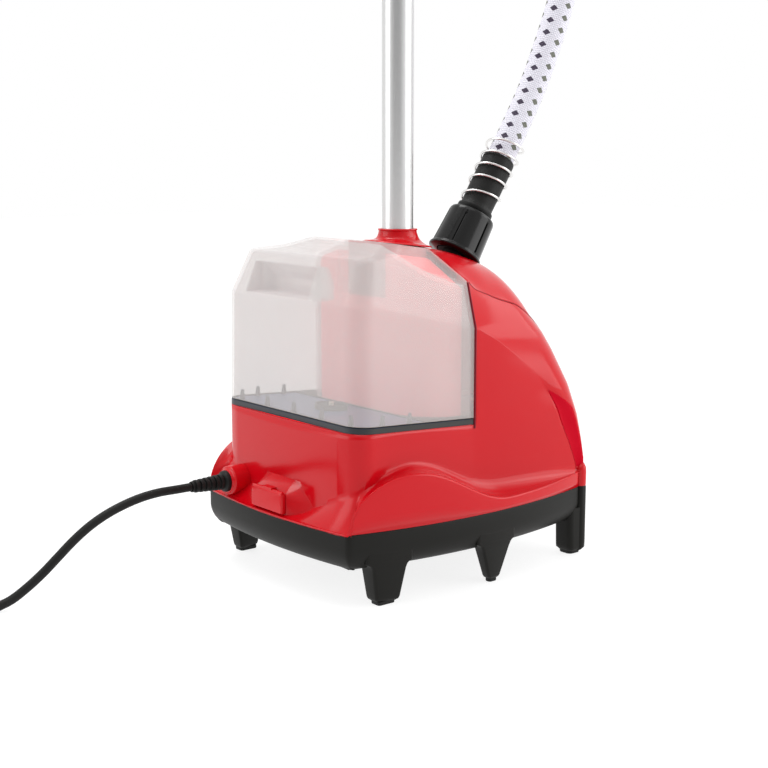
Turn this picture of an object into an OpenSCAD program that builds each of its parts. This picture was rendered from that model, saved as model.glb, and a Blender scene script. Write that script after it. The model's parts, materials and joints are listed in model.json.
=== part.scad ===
// Garment steamer: wheel-less floor base with boiler, lift-off water tank, telescopic pole,
// folding hanger, steam hose and steam head. Millimetres, +Z up, origin on the floor under
// the middle of the base. The tank end of the base points along -X.

/* [Base] */
// Length of the base between its corners
base_l = 266.8; // [256:0.2:272]
// Width of the base between its corners
base_w = 208.4; // [204:0.2:214]
// How far a long side bows out at its middle
bow_long = 18.4; // [14:0.2:20]
// How far a short side bows out at its middle
bow_short = 9; // [7:0.2:10]
// Height of the legs, floor to tray
leg_h = 32; // [26:1:34]
// Height of the parting line between tray and shell
parting_z = 64; // [62:0.5:65]
// Wall thickness of the moulded shells
wall = 2.5; // [2:0.1:3]
/* [Tank] */
// Distance from the origin to the tank's end wall
tank_end = 120; // [116:0.5:122]
// Half width of the tank
tank_half = 98; // [96:0.5:100]
// Radius of the tank's upright end corners
tank_r = 18; // [14:0.5:22]
// Where the tank meets the shell on the long sides
tank_rear = 8; // [4:0.5:10]
// Wall thickness of the tank
tank_wall = 2.2; // [1.8:0.1:2.6]
// Height of the seat under the tank's middle
seat_z = 139; // [137:0.5:141]
// Tilt of the seat, falling towards the pole
seat_tilt = 2.8; // [2:0.1:3.4]
/* [Pole] */
// Distance of the pole's axis from the origin
pole_x = 3; // [0:0.5:5]
// Outer diameter of the lower tube
pole_d = 28; // [26:0.5:30]
// Wall thickness of the tubes
pole_wall = 1; // [0.8:0.1:1.2]
// Top of the lower tube
lower_top = 820; // [780:5:840]
// Top of the upper tube
upper_top = 1345; // [1330:5:1360]
/* [Hose] */
// Tilt of the steam outlet away from upright
outlet_tilt = 33; // [30:0.5:35]
// Outer diameter of the steam hose
hose_d = 26; // [24:0.5:27]
// Diameter of the mains lead
lead_d = 7.6; // [7:0.1:8]
/* [Hidden] */
$fn = 64;
fine = 240;
gap = 0.3;
run = 0.05;
outlet_foot = [68, 0, 270];
pole_bore = pole_d / 2 - pole_wall;
upper_r = pole_bore - run;
well_x = -72;
boiler_c = [74, 0, 84];
hub_z = 1300;
head_x = 88;
seat_mid = -54;
grip_y = 16;
roof_z = 286;
roof_fall = 7;
tank_lid = 6;
tank_back = tank_rear - 0.8;
plug_foot = [-440, 178, 18.4];
pivot = [-139.6, 83.8];
switch_at = [142, 0, 112];
// Upright posts of the tank's form: distance along, half width, height, radius
CREASE_END = [-100.5, 78.5, 244, 18];
CREASE_REAR = [tank_rear, 97.5, 219, 0.1];
EDGE_END = [-90, 72, 280, 14];
EDGE_REAR = [tank_rear, 87, 258, 0.1];
RIDGE_END = [-94, 33, 297, 3];
RIDGE_REAR = [tank_rear, 36, 283, 0.1];
// What the roof's front lacks under the ridge: distance along and height
ROOF_STEP = [[-140, 278], [-104, 281.3], [-80, 283.9], [-75, 285.1], [-70, 288], [-66, 291.4],
             [-62, 293], [-62, 320], [-140, 320]];
// Upright posts of the hump's rear corners: height, distance along, half width, radius
HUMP = [[64, 128, 98.5, 5.5], [107, 122, 88.5, 17], [158, 103, 67, 33.5], [190, 86, 52, 41],
        [219, 68, 38, 46], [245, 50, 26, 47], [262, 38, 12, 44], [274, 26, 8, 32]];
// Middle of the hump's back: height, distance along
BACK = [[64, 141.5], [107, 140.5], [158, 137], [190, 131], [219, 121], [245, 106], [262, 88]];
// Route of the steam hose in the upright plane of the pole: distance along, height
HOSE = [[126, 359], [148, 393], [169, 429], [187, 467], [203, 506], [216, 546], [226, 587],
        [232, 629], [235, 672], [235, 715], [232, 758], [226, 801], [217, 843], [205, 884],
        [191, 924], [175, 963], [157, 1002], [139, 1040], [121, 1076], [105, 1110], [93, 1144],
        [88, 1178], [88, 1240]];
// Route of the mains lead from its gland to the coil
LEAD = [[-172, 66, 78], [-190, 66, 78], [-208, 66, 78], [-226, 66, 76], [-243, 66, 72],
        [-259, 67, 66], [-274, 68, 58], [-288, 69, 48], [-301, 70, 37], [-314, 71, 26],
        [-328, 72, 16], [-342, 73, 8], [-356, 74, 4], [-372, 75, 4]];
// Route of the mains lead from the coil to the plug
TAIL = [[-440, 144, 11], [-440, 152, 13], [-440, 161, 16.5], [-440, 170, 18.4], [-440, 177.7, 18.4]];
COIL = [-390, 125];

// ---- Shared outlines and forms ----

// Plan of the base, four arcs, drawn smaller by inset
module bowed(inset) {
  r_long = (base_l * base_l / 4 + bow_long * bow_long) / (2 * bow_long);
  r_short = (base_w * base_w / 4 + bow_short * bow_short) / (2 * bow_short);
  c_long = base_w / 2 + bow_long - r_long;
  c_short = base_l / 2 + bow_short - r_short;
  intersection() {
    translate([0, c_long]) circle(r_long - inset, $fn = fine);
    translate([0, -c_long]) circle(r_long - inset, $fn = fine);
    translate([c_short, 0]) circle(r_short - inset, $fn = fine);
    translate([-c_short, 0]) circle(r_short - inset, $fn = fine);
  }
}

// Plan with two round corners at its -X end
module end_plan(x0, x1, half, r) {
  translate([x0 + r, -half]) square([x1 - x0 - r, 2 * half]);
  translate([x0, r - half]) square([r + 1, 2 * (half - r)]);
  for (s = [-1, 1]) translate([x0 + r, s * (half - r)]) circle(r);
}

// Lays children on the tilted seat, z = 0 at the seat's own surface
module on_seat(lift) {
  translate([seat_mid, 0, seat_z]) rotate([0, seat_tilt, 0])
    translate([-seat_mid, 0, lift]) children();
}

module post(p, t) {
  r = max(p[3] - t, 0.1);
  side = p[3] < t ? t : 0;
  for (s = [-1, 1]) translate([p[0], s * (p[1] - side), p[2] - t]) cylinder(r = r, h = 0.1);
}

// A rear post carried along its line from the end post to a new distance
function carried(a, b, x) = [x, b[1], b[2] + (b[2] - a[2]) / (b[0] - a[0]) * (x - b[0]), b[3]];

// The tank's outer form, drawn smaller by t, ending at rear
module tank_form(t, rear) {
  difference() {
    hull() {
      on_seat(t > 0 ? tank_lid - 0.5 : tank_lid) linear_extrude(0.1)
        end_plan(-tank_end + t, rear, tank_half - t, tank_r - t);
      post(CREASE_END, t);
      post(carried(CREASE_END, CREASE_REAR, rear), t);
      post(EDGE_END, t);
      post(carried(EDGE_END, EDGE_REAR, rear), t);
      post(RIDGE_END, t);
      post(carried(RIDGE_END, RIDGE_REAR, rear), t);
    }
    translate([0, 150, -t]) rotate([90, 0, 0]) linear_extrude(300) polygon(ROOF_STEP);
  }
}

// The hump's outer form, drawn smaller by t, from the wall behind the tank to the back
module hump_form(t) {
  foot = parting_z - (t > 0 ? 6 : 0);
  intersection() {
    hull() {
      for (p = HUMP) for (s = [-1, 1])
        translate([p[1], s * p[2], p[0] > parting_z ? p[0] - t : foot])
          cylinder(r = max(p[3] - t, 0.5), h = 0.1, $fn = 40);
      for (p = BACK) for (s = [-1, 1])
        translate([p[1] - t - 0.5, s * 20, p[0] > parting_z ? p[0] - t : foot])
          cylinder(r = 0.5, h = 0.1, $fn = 16);
      for (s = [-1, 1]) {
        translate([tank_rear, s * (100 - t), foot]) cube([0.1, 0.1, 0.1]);
        post([tank_rear, 98, 219, 0.1], t);
        post([tank_rear, 87, 258, 0.1], t);
        post([tank_rear, 36, 283, 0.1], t);
      }
    }
    translate([tank_rear + t, -120, 50]) cube([150, 240, 250]);
  }
}

// Height of the fender's wavy edge at distance x
function wave(x) =
  x < -75 ? parting_z + 44 * sqrt(max(0, 1 - pow((-75 - x) / 58.4, 2))) :
  x < 30 ? 74 + 34 * (0.5 + 0.5 * cos(180 * (x + 75) / 105)) :
  74 + 4 * pow((x - 30) / 103, 2);

module fender_form(t) {
  intersection() {
    translate([0, 0, parting_z - t * 2]) linear_extrude(60) bowed(t);
    translate([0, 150, -t]) rotate([90, 0, 0]) linear_extrude(300)
      polygon(concat([[133.3, 50], [-133.3, 50]], [for (x = [-133.3:6.2:133.4]) [x, wave(x)]]));
    difference() {
      translate([-150, -150, 40]) cube([300, 300, 100]);
      translate([-150, -75 - t, 30]) cube([300, 150 + 2 * t, 120]);
    }
  }
}

module tower_form(t) {
  intersection() {
    translate([0, 0, 90]) linear_extrude(220) end_plan(-38 + t, 20, 80 - t, 30 - t);
    union() {
      tank_form(7 + t, 30);
      translate([-60, -90, 80]) cube([100, 180, seat_z - 70]);
    }
  }
}

// Strip of the top around the pole's collar
module saddle_form(t) {
  intersection() {
    translate([0, 0, 242 - 2 * t]) linear_extrude(70) end_plan(-38 + t, 20, 33.5 - t, 22 - t);
    tank_form(0.2 + t, 30);
  }
}

module deck_form(t) {
  intersection() {
    translate([0, 0, parting_z - 2 * t]) linear_extrude(100)
      end_plan(-tank_end + t, 20, tank_half - t, tank_r - t);
    on_seat(-200 - t) translate([-300, -300, 0]) cube([600, 600, 200]);
  }
}

// Everything the red shells enclose, drawn smaller by t
module shell_form(t) {
  translate([0, 0, parting_z - 2 * t]) linear_extrude(t > 0 ? 4 + t : 6) bowed(t);
  deck_form(t);
  fender_form(t);
  tower_form(t);
  saddle_form(t);
  hump_form(t);
}

// The part of the shells that the spine cover takes
module spine_zone() {
  translate([0, 0, 74]) linear_extrude(230)
    polygon([[12, 86], [30, 82], [106, 70], [150, 62], [150, -62], [106, -70], [30, -82], [12, -86]]);
  translate([-50, -33.6, 242]) cube([63, 67.2, 60]);
}

module along(foot, s) {
  translate(foot) rotate([0, outlet_tilt, 0]) translate([0, 0, s]) children();
}

module tube(r_out, r_in, h) {
  difference() {
    cylinder(r = r_out, h = h);
    translate([0, 0, -1]) cylinder(r = r_in, h = h + 2);
  }
}

// Round tube swept along a route of points
function unit(v) = v / norm(v);
function at(p, i) = p[max(0, min(len(p) - 1, i))];
function heading(p, i) = unit(at(p, i + 1) - at(p, i - 1));
function ring(c, u, v, r, n) = [for (k = [0:n - 1]) c + r * (cos(360 * k / n) * u + sin(360 * k / n) * v)];
module swept(p, r, n, side) {
  m = len(p);
  points = [for (i = [0:m - 1]) let (d = heading(p, i), u = unit(cross(d, side)), v = cross(d, u))
            each ring(p[i], u, v, r, n)];
  sides = [for (i = [0:m - 2]) for (k = [0:n - 1])
           [i * n + k, i * n + (k + 1) % n, (i + 1) * n + (k + 1) % n, (i + 1) * n + k]];
  polyhedron(points, concat([[for (k = [n - 1:-1:0]) k]], sides,
             [[for (k = [0:n - 1]) (m - 1) * n + k]]), convexity = 6);
}

// ---- Base ----

module base_tray() {
  color([0.17, 0.17, 0.16]) {
    difference() {
      hull() {
        translate([0, 0, leg_h + 14]) linear_extrude(parting_z - leg_h - 14.1) bowed(0);
        translate([0, 0, leg_h]) linear_extrude(1) bowed(9);
      }
      hull() {
        translate([0, 0, leg_h + 14]) linear_extrude(40) bowed(3);
        translate([0, 0, leg_h + 3]) linear_extrude(1) bowed(12);
      }
    }
    for (sy = [-1, 1]) {
      leg([-112.5, sy * 101], 32.5, 16, 6);
      leg([118, sy * 91], 22, 25, 1);
      leg([-5, sy * 115], 38, 12, 13);
    }
    rear_posts(leg_h + 6, parting_z - 0.1);
  }
}

// Round posts at the two back corners, between two heights
module rear_posts(low, high) {
  for (sy = [-1, 1]) translate([135, sy * 99.5, low]) cylinder(r = 5.6, h = high - low);
}

// A leg hanging from the tray: corner, length, width and how far it tapers
module leg(at_xy, l, w, taper) {
  translate([at_xy[0], at_xy[1] + w / 2, 0]) rotate([90, 0, 0]) linear_extrude(w)
    polygon([[0, leg_h + 8], [l, leg_h + 8], [l - taper, 3], [taper, 3]]);
}

module rubber_feet() {
  color([0.1, 0.1, 0.1]) for (sy = [-1, 1]) {
    translate([-105, sy * 101 - 6, 0]) cube([17, 12, 3]);
    translate([120.5, sy * 91 - 10, 0]) cube([16, 20, 3]);
    translate([9.5, sy * 115 - 4, 0]) cube([9, 8, 3]);
  }
}

module tray_screws() {
  color("silver") for (p = [[-96, 70], [-96, -70], [112, 66], [112, -66]])
    translate([p[0], p[1], leg_h - 2]) {
      cylinder(r = 4, h = 2);
      cylinder(r = 1.7, h = 2);
    }
}

module body_shell() {
  color([0.72, 0.03, 0.05]) difference() {
    shell_form(0);
    shell_form(wall);
    spine_zone();
    on_seat(-30) translate([well_x, 0, 0]) cylinder(r = 22.2, h = 60);
    translate([-138, -19, 66]) cube([30, 38, 13]);
    translate([-150, -23.4, parting_z + 0.9]) cube([12.6, 46.8, 30]);
    translate([-150, 66, 78]) rotate([0, 90, 0]) cylinder(r = 8, h = 50);
  }
  color([0.72, 0.03, 0.05]) drain_housing();
  color([0.72, 0.03, 0.05]) cord_boss();
  color([0.72, 0.03, 0.05]) rear_posts(parting_z, 84);
}

// Box behind the drain door, open at the front
module drain_housing() {
  difference() {
    translate([-137.4, -23, 64.1]) cube([18.6, 46, 17]);
    translate([-140, -19, 66]) cube([30, 38, 13]);
  }
}

module cord_boss() {
  translate([-138, 66, 78]) rotate([0, 90, 0]) difference() {
    cylinder(r = 13, h = 19.2);
    translate([0, 0, -1]) cylinder(r = 8, h = 30);
  }
}

module spine_cover() {
  color([0.74, 0.04, 0.06]) difference() {
    intersection() {
      difference() {
        union() {
          saddle_form(0);
          hump_form(0);
        }
        union() {
          saddle_form(wall);
          hump_form(wall);
        }
      }
      spine_zone();
    }
    translate([pole_x, 0, 200]) cylinder(r = 17.3, h = 120);
    along(outlet_foot, -40) cylinder(r = 17, h = 80);
    translate(switch_at) cube([60, 27.2, 36.2], center = true);
    translate([120, 0, 142]) rotate([0, 90, 0]) cylinder(r = 5.2, h = 40);
  }
}

module pole_socket() {
  color([0.12, 0.12, 0.12]) translate([pole_x, 0, 0]) difference() {
    union() {
      translate([0, 0, 120]) cylinder(r = 17, h = 169);
      translate([-3, -77.4, 120]) cube([6, 154.8, 12]);
    }
    translate([0, 0, 125]) cylinder(r = pole_d / 2 + run, h = 200);
  }
}

module pole_collar() {
  color([0.74, 0.04, 0.06]) difference() {
    union() {
      translate([pole_x, 0, roof_z]) cylinder(r = 17.6, h = 299 - roof_z);
      translate([pole_x, 0, roof_z]) rotate([0, roof_fall, 0]) rotate_extrude() polygon(concat(
        [[0, -9], [31, -9]], [for (a = [0:10:90]) [31 - 14 * sin(a), 8 - 7.6 * cos(a)]], [[0, 8]]));
    }
    saddle_form(-0.05);
    hump_form(0);
    translate([pole_x, 0, roof_z - 20]) cylinder(r = pole_d / 2 + run, h = 40);
    pole_socket_space();
  }
}

module pole_socket_space() {
  translate([pole_x, 0, 100]) cylinder(r = 17.05, h = 189.05);
}

// ---- Tank and valve ----

module tank_body() {
  color([0.93, 0.92, 0.92, 0.45]) difference() {
    tank_form(0, tank_back);
    difference() {
      tank_form(tank_wall, tank_back - tank_wall);
      bay_form(3 + tank_wall, 8 + tank_wall);
      notch_form(tank_wall);
      grip_form(tank_wall);
    }
    bay_form(3, 5);
    notch_form(0);
    grip_form(0);
  }
}

// Room for the tower, grown sideways by side, up to drop below the roof
module bay_form(side, drop) {
  intersection() {
    translate([0, 0, 100]) linear_extrude(200)
      end_plan(-38 - side, 60, 80 + side, 30 + side);
    tank_form(10 - drop, 40);
  }
}

// Slot in the roof around the collar
module notch_form(t) {
  translate([0, 0, 240 - t]) linear_extrude(80) end_plan(-41 - t, 60, 36.5 + t, 25 + t);
}

// Finger recess in the end wall, under the grip bar and off towards the lead's side
module grip_form(t) {
  translate([0, grip_y, 0]) hull() {
    translate([-124, -46 - t, 246 - t]) cube([24 + t, 92 + 2 * t, 26 + t]);
    translate([-124, -40 - t, 246 - t]) cube([34 + t, 80 + 2 * t, 12 + t]);
  }
}

module tank_base_plate() {
  color([0.08, 0.08, 0.09]) {
    difference() {
      on_seat(gap) linear_extrude(tank_lid - 1.1 - gap)
        end_plan(-tank_end, tank_back, tank_half, tank_r);
      translate([0, 0, 100]) linear_extrude(200) end_plan(-41, 60, 83, 33);
      on_seat(-1) translate([well_x, 0, 0]) cylinder(r = 14.5, h = 10);
    }
    on_seat(tank_lid - 1.1) for (p = plate_posts())
      translate([p[0], p[1], 0]) cylinder(r1 = 2.6, r2 = 1.4, h = 9, $fn = 24);
  }
}

function plate_posts() = concat(
  [for (y = [-80:40:80]) [-112, y]],
  [for (x = [-88, -59]) for (s = [-1, 1]) [x, s * 91]]);

module tank_gasket() {
  color([0.05, 0.05, 0.05]) difference() {
    on_seat(tank_lid - 1.05) linear_extrude(1)
      end_plan(-tank_end + 0.4, tank_back - 0.4, tank_half - 0.4, tank_r - 0.4);
    on_seat(0) linear_extrude(20) end_plan(-tank_end + 3, -44, tank_half - 3, tank_r - 3);
    translate([0, 0, 100]) linear_extrude(200) end_plan(-41.2, 60, 83.2, 33);
  }
}

module tank_cap() {
  color([0.1, 0.1, 0.1]) on_seat(0) translate([well_x, 0, 0]) difference() {
    union() {
      translate([0, 0, -12]) cylinder(r = 17, h = 11.9);
      translate([0, 0, -0.2]) cylinder(r = 14.4, h = 10);
    }
    translate([0, 0, -9]) cylinder(r = 12, h = 30);
    translate([0, 0, -20]) cylinder(r = 4, h = 20);
  }
}

module valve_stem() {
  color("ivory") on_seat(0) translate([well_x, 0, 0]) {
    translate([0, 0, -13]) cylinder(r = 2.4, h = 24);
    translate([0, 0, -6.4]) cylinder(r = 8, h = 2);
  }
}

module valve_seal() {
  color([0.65, 0.1, 0.1]) on_seat(0) translate([well_x, 0, -8.7]) tube(8, 4.2, 2.2);
}

module valve_spring() {
  color("silver") on_seat(0) translate([well_x, 0, 0])
    for (k = [0:4]) translate([0, 0, -3.4 + 2.6 * k]) rotate_extrude()
      translate([4.2, 0]) circle(0.5, $fn = 16);
}

module valve_well() {
  color([0.1, 0.1, 0.1]) on_seat(-22) translate([well_x, 0, 0]) {
    difference() {
      cylinder(r = 22, h = 21.8);
      translate([0, 0, 2]) cylinder(r = 19.5, h = 30);
      translate([0, 0, 10]) rotate([0, 90, 0]) cylinder(r = 4, h = 40);
    }
    difference() {
      translate([21, 0, 10]) rotate([0, 90, 0]) cylinder(r = 6, h = 9);
      translate([0, 0, 10]) rotate([0, 90, 0]) cylinder(r = 4, h = 60);
      cylinder(r = 19.5, h = 30);
    }
  }
}

module valve_pin() {
  color([0.1, 0.1, 0.1]) on_seat(-20) translate([well_x, 0, 0]) {
    cylinder(r = 2.4, h = 6.6);
    cylinder(r = 6, h = 1.5);
  }
}

// ---- Boiler and plumbing ----

module boiler_base() {
  color([0.75, 0.75, 0.77]) translate(boiler_c) difference() {
    cylinder(r = 50, h = 28);
    translate([0, 0, 5]) cylinder(r = 44, h = 30);
    translate([-60, 0, 14]) rotate([0, 90, 0]) cylinder(r = 4, h = 20);
    translate([-34, 34, 14]) rotate([0, 90, 135]) cylinder(r = 3, h = 30, center = true);
  }
}

module boiler_gasket() {
  color([0.8, 0.25, 0.1]) translate(boiler_c) translate([0, 0, 28.1]) tube(49, 44, 1.8);
}

module boiler_lid() {
  color([0.7, 0.7, 0.72]) translate(boiler_c) translate([0, 0, 30]) difference() {
    union() {
      cylinder(r = 50, h = 5);
      cylinder(r = 45, h = 20);
      translate([-28, 0, 0]) cylinder(r = 6, h = 28);
    }
    translate([0, 0, -1]) cylinder(r = 42, h = 18);
    translate([-28, 0, -1]) cylinder(r = 4, h = 60);
  }
}

module boiler_screws() {
  color("silver") translate(boiler_c) for (a = [30:60:330])
    rotate([0, 0, a]) translate([47.2, 0, 35.1]) cylinder(r = 2.2, h = 3);
}

module boiler_stand() {
  color([0.6, 0.6, 0.6]) difference() {
    union() {
      for (a = [45:90:315]) translate([boiler_c[0], 0, 0]) rotate([0, 0, a])
        translate([42, 0, leg_h + 3.2]) cylinder(r = 4, h = boiler_c[2] - leg_h - 3.4);
      translate([boiler_c[0], 0, leg_h + 3.2]) tube(47, 37, 3);
    }
    translate([boiler_c[0], 0, 79.8]) rotate_extrude() translate([38, 0]) circle(4.3);
  }
}

module heating_element() {
  color([0.45, 0.45, 0.47]) translate([boiler_c[0], 0, 79.8]) {
    rotate([0, 0, 20]) rotate_extrude(angle = 320) translate([38, 0]) circle(4);
    for (a = [20, 340]) rotate([0, 0, a]) translate([38, 0, -16]) cylinder(r = 3.2, h = 16);
  }
}

module thermostat() {
  color([0.85, 0.82, 0.7]) translate([boiler_c[0] + 20, -16, boiler_c[2] + 50.1]) {
    cylinder(r = 12, h = 3);
    cylinder(r = 8, h = 10);
  }
}

module thermal_fuse() {
  color([0.9, 0.9, 0.9]) translate([boiler_c[0] + 20, 18, boiler_c[2] + 53.1])
    rotate([0, 90, 0]) cylinder(r = 3, h = 22, center = true);
}

module feed_tube() {
  color([0.85, 0.85, 0.82, 0.7]) translate([-41, 0, boiler_c[2] + 14]) rotate([0, 90, 0])
    translate([0, 0, 3]) tube(6, 4, boiler_c[0] - 50 + 41 - 3.1);
}

module steam_tube() {
  color([0.85, 0.85, 0.82, 0.7]) translate([boiler_c[0] - 28, 0, boiler_c[2] + 50.1])
    tube(9.5, 6.1, 88);
}

module steam_spigot() {
  color([0.15, 0.15, 0.15]) difference() {
    union() {
      along(outlet_foot, -40) cylinder(r = 11, h = 64);
      along(outlet_foot, -40) sphere(r = 11);
      translate([boiler_c[0] - 28, 0, 222.4]) cylinder(r = 9, h = 14);
      along(outlet_foot, 3) cylinder(r = 16, h = 2);
    }
    along(outlet_foot, -40) cylinder(r = 7.5, h = 80);
    along(outlet_foot, -40) sphere(r = 7.5);
    translate([boiler_c[0] - 28, 0, 200]) cylinder(r = 6, h = 36);
  }
}

module terminal_block() {
  color("ivory") translate([-20, 40, leg_h + 3.2]) difference() {
    cube([44, 18, 16]);
    for (k = [0:2]) translate([8 + 14 * k, 9, 6]) cylinder(r = 3, h = 20);
  }
}

// ---- Drain at the tank end ----

module drain_pipe() {
  color([0.12, 0.12, 0.12]) translate([-124, 0, 72.5]) rotate([0, 90, 0]) tube(6.4, 4.5, 12);
}

module drain_plug() {
  color([0.12, 0.12, 0.12]) translate([-130, 0, 72.5]) rotate([0, 90, 0]) difference() {
    union() {
      cylinder(r = 5.8, h = 5.8, $fn = 48);
      cylinder(r = 4.45, h = 16);
    }
    translate([-7, -0.7, -1]) cube([14, 1.4, 2.4]);
  }
}

module drain_door() {
  color([0.72, 0.03, 0.05]) difference() {
    union() {
      translate([-141.4, -23, parting_z + 1.2]) cube([3.6, 46, 18.6]);
      for (s = [-1, 1]) translate([pivot[0], s * 17 - 3, pivot[1]]) rotate([-90, 0, 0])
        cylinder(r = 1.8, h = 6);
    }
    translate([pivot[0], -40, pivot[1]]) rotate([-90, 0, 0]) cylinder(r = 0.8 + run, h = 80);
    translate([-145, -7.6, 80.6]) cube([10, 15.2, 10]);
  }
}

module door_pin() {
  color("silver") {
    translate([pivot[0], -22, pivot[1]]) rotate([-90, 0, 0]) cylinder(r = 0.8, h = 44);
    translate([-141, -7, 81.2]) cube([6, 14, 4.4]);
  }
}

// ---- Mains lead ----

module cord_gland() {
  color([0.07, 0.07, 0.07]) translate([-172, 66, 78]) rotate([0, 90, 0]) difference() {
    union() {
      cylinder(r1 = 5, r2 = 7.4, h = 34);
      for (k = [0:4]) translate([0, 0, 3 + 6 * k]) cylinder(r = 6.4 + 0.45 * k, h = 3.4);
      translate([0, 0, 33.9]) cylinder(r = 7.9, h = 18);
    }
    translate([0, 0, 0.1]) cylinder(r = lead_d / 2 + 0.1, h = 80);
  }
}

module cord_clamp() {
  color([0.1, 0.1, 0.1]) translate([-114, 56, leg_h + 3.2]) difference() {
    cube([10, 20, 12]);
    translate([-1, 10, 9]) rotate([0, 90, 0]) cylinder(r = lead_d / 2, h = 20);
  }
}

module power_cord() {
  color([0.05, 0.05, 0.05]) swept(LEAD, lead_d / 2, 10, [0, 0, 1]);
}

module cord_tail() {
  color([0.05, 0.05, 0.05]) swept(TAIL, lead_d / 2, 10, [0, 0, 1]);
}

module cord_coil() {
  color([0.05, 0.05, 0.05]) translate([COIL[0], COIL[1], 0]) tube(53.5, 30.5, 14.4);
}

module cord_tie() {
  color([0.2, 0.2, 0.2]) translate([COIL[0] + 42, COIL[1] - 4, 0]) difference() {
    translate([-12.8, 0, 0]) cube([25.6, 8, 15.6]);
    translate([-11.9, -1, 0.6]) cube([23.8, 10, 14]);
  }
}

module plug_body() {
  color([0.06, 0.06, 0.06]) translate(plug_foot) rotate([-90, 0, 0]) difference() {
    union() {
      cylinder(r1 = 6, r2 = 9, h = 22);
      translate([0, 0, 20]) cylinder(r1 = 9, r2 = 18.4, h = 14);
      translate([0, 0, 33.9]) cylinder(r = 18.4, h = 12);
    }
    for (s = [-1, 1]) translate([s * 18.4, 0, 40]) cube([3, 5, 30], center = true);
  }
}

module plug_pins() {
  color("silver") for (s = [-1, 1]) translate(plug_foot + [s * 9.5, 46, 0])
    rotate([-90, 0, 0]) cylinder(r = 2.4, h = 19);
}

// ---- Switch ----

module switch_bezel() {
  color([0.08, 0.08, 0.08]) translate(switch_at) {
    difference() {
      union() {
        translate([-3.4, -13.5, -18]) cube([3, 27, 36]);
        translate([-16, -10.8, -14.8]) cube([13, 21.6, 29.6]);
      }
      translate([-14, -9, -13]) cube([20, 18, 26]);
    }
    translate([-6, -9.5, 0]) rotate([-90, 0, 0]) cylinder(r = 1.55, h = 19);
  }
}

module switch_rocker() {
  color([0.6, 0.05, 0.05]) translate(switch_at) difference() {
    rotate([90, 0, 0]) translate([0, 0, -8.6]) linear_extrude(17.2)
      polygon([[-9, -10], [-0.4, -11], [-2, 0], [0, 11], [-9, 10]]);
    translate([-6, -20, 0]) rotate([-90, 0, 0]) cylinder(r = 1.55 + run, h = 40);
  }
}

module indicator_lens() {
  color([0.9, 0.4, 0.1, 0.8]) translate([133, 0, 142]) rotate([0, 90, 0]) cylinder(r = 5, h = 7.4);
}

// ---- Pole and hanger ----

module pole_lower() {
  color([0.82, 0.83, 0.84]) translate([pole_x, 0, 125.1])
    tube(pole_d / 2, pole_bore, lower_top - 125.1);
}

module pole_upper() {
  color([0.82, 0.83, 0.84]) translate([pole_x, 0, 700]) tube(upper_r, upper_r - 1, upper_top - 700);
}

module pole_clamp() {
  color([0.1, 0.1, 0.1]) translate([pole_x, 0, 0]) difference() {
    union() {
      translate([0, 0, 786]) cylinder(r = 18, h = 34.3);
      translate([0, 0, 820.2]) cylinder(r = 17, h = 6);
      for (s = [-1, 1]) translate([-27, s * 9 - 1.5, 800]) cube([12, 3, 16]);
    }
    translate([0, 0, 780]) cylinder(r = pole_d / 2 + run, h = 40.1);
    translate([0, 0, 780]) cylinder(r = upper_r + run, h = 60);
    translate([-23, -20, 810]) rotate([-90, 0, 0]) cylinder(r = 2 + run, h = 40);
  }
}

module clamp_lever() {
  color([0.7, 0.05, 0.06]) translate([pole_x - 23, 0, 810]) {
    rotate([-90, 0, 0]) translate([0, 0, -10.4]) cylinder(r = 2, h = 20.8);
    rotate([90, 0, 0]) translate([0, 0, -7]) linear_extrude(14)
      polygon([[-3.6, 3.6], [3.4, 3.2], [3.4, -4], [-1, -12], [-1, -44], [-4.6, -46], [-5.4, -12]]);
  }
}

module pole_top() {
  color([0.1, 0.1, 0.1]) translate([pole_x, 0, 0]) difference() {
    union() {
      translate([0, 0, hub_z]) cylinder(r = 17, h = 52);
      translate([0, 0, hub_z + 51.9]) cylinder(r1 = 17, r2 = 12, h = 8);
      for (sx = [-1, 1]) for (sy = [-1, 1])
        translate([sx * 8 - 2, sy * 24 - 10, hub_z + 20]) cube([4, 20, 18]);
    }
    translate([0, 0, hub_z - 1]) cylinder(r = upper_r + run, h = upper_top - hub_z + 1.1);
    for (s = [-1, 1]) translate([-20, s * 27, hub_z + 28]) rotate([0, 90, 0])
      cylinder(r = 2.5, h = 40);
  }
}

module arm(side) {
  translate([pole_x, side * 27, hub_z + 28]) difference() {
    union() {
      rotate([0, 90, 0]) cylinder(r = 5.6, h = 11.4, center = true);
      translate([-5.7, -3, -176]) cube([11.4, 6, 176]);
      translate([-5.7, side > 0 ? -3 : -7, -186]) cube([11.4, 10, 12]);
    }
    rotate([0, 90, 0]) cylinder(r = 2.5 + run, h = 30, center = true);
    translate([-3, side > 0 ? 1.6 : -11.6, -160]) cube([6, 10, 120]);
  }
}

module arm_left() {
  color([0.12, 0.12, 0.12]) arm(1);
}

module arm_right() {
  color([0.12, 0.12, 0.12]) arm(-1);
}

module arm_pins() {
  color("silver") for (s = [-1, 1]) translate([pole_x - 11, s * 27, hub_z + 28])
    rotate([0, 90, 0]) cylinder(r = 2.5, h = 22);
}

module head_cradle() {
  color([0.1, 0.1, 0.1]) difference() {
    union() {
      translate([pole_x, 0, hub_z - 22]) cylinder(r = 17, h = 21.8);
      translate([pole_x, -12, hub_z - 20]) cube([67, 24, 8]);
      translate([head_x, 0, hub_z - 20]) cylinder(r = 25, h = 8);
    }
    translate([pole_x, 0, hub_z - 40]) cylinder(r = upper_r + run, h = 80);
    translate([head_x, 0, hub_z - 40]) cylinder(r = 17, h = 60);
    translate([head_x, -17, hub_z - 40]) cube([40, 34, 60]);
  }
}

// ---- Hose and steam head ----

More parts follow.
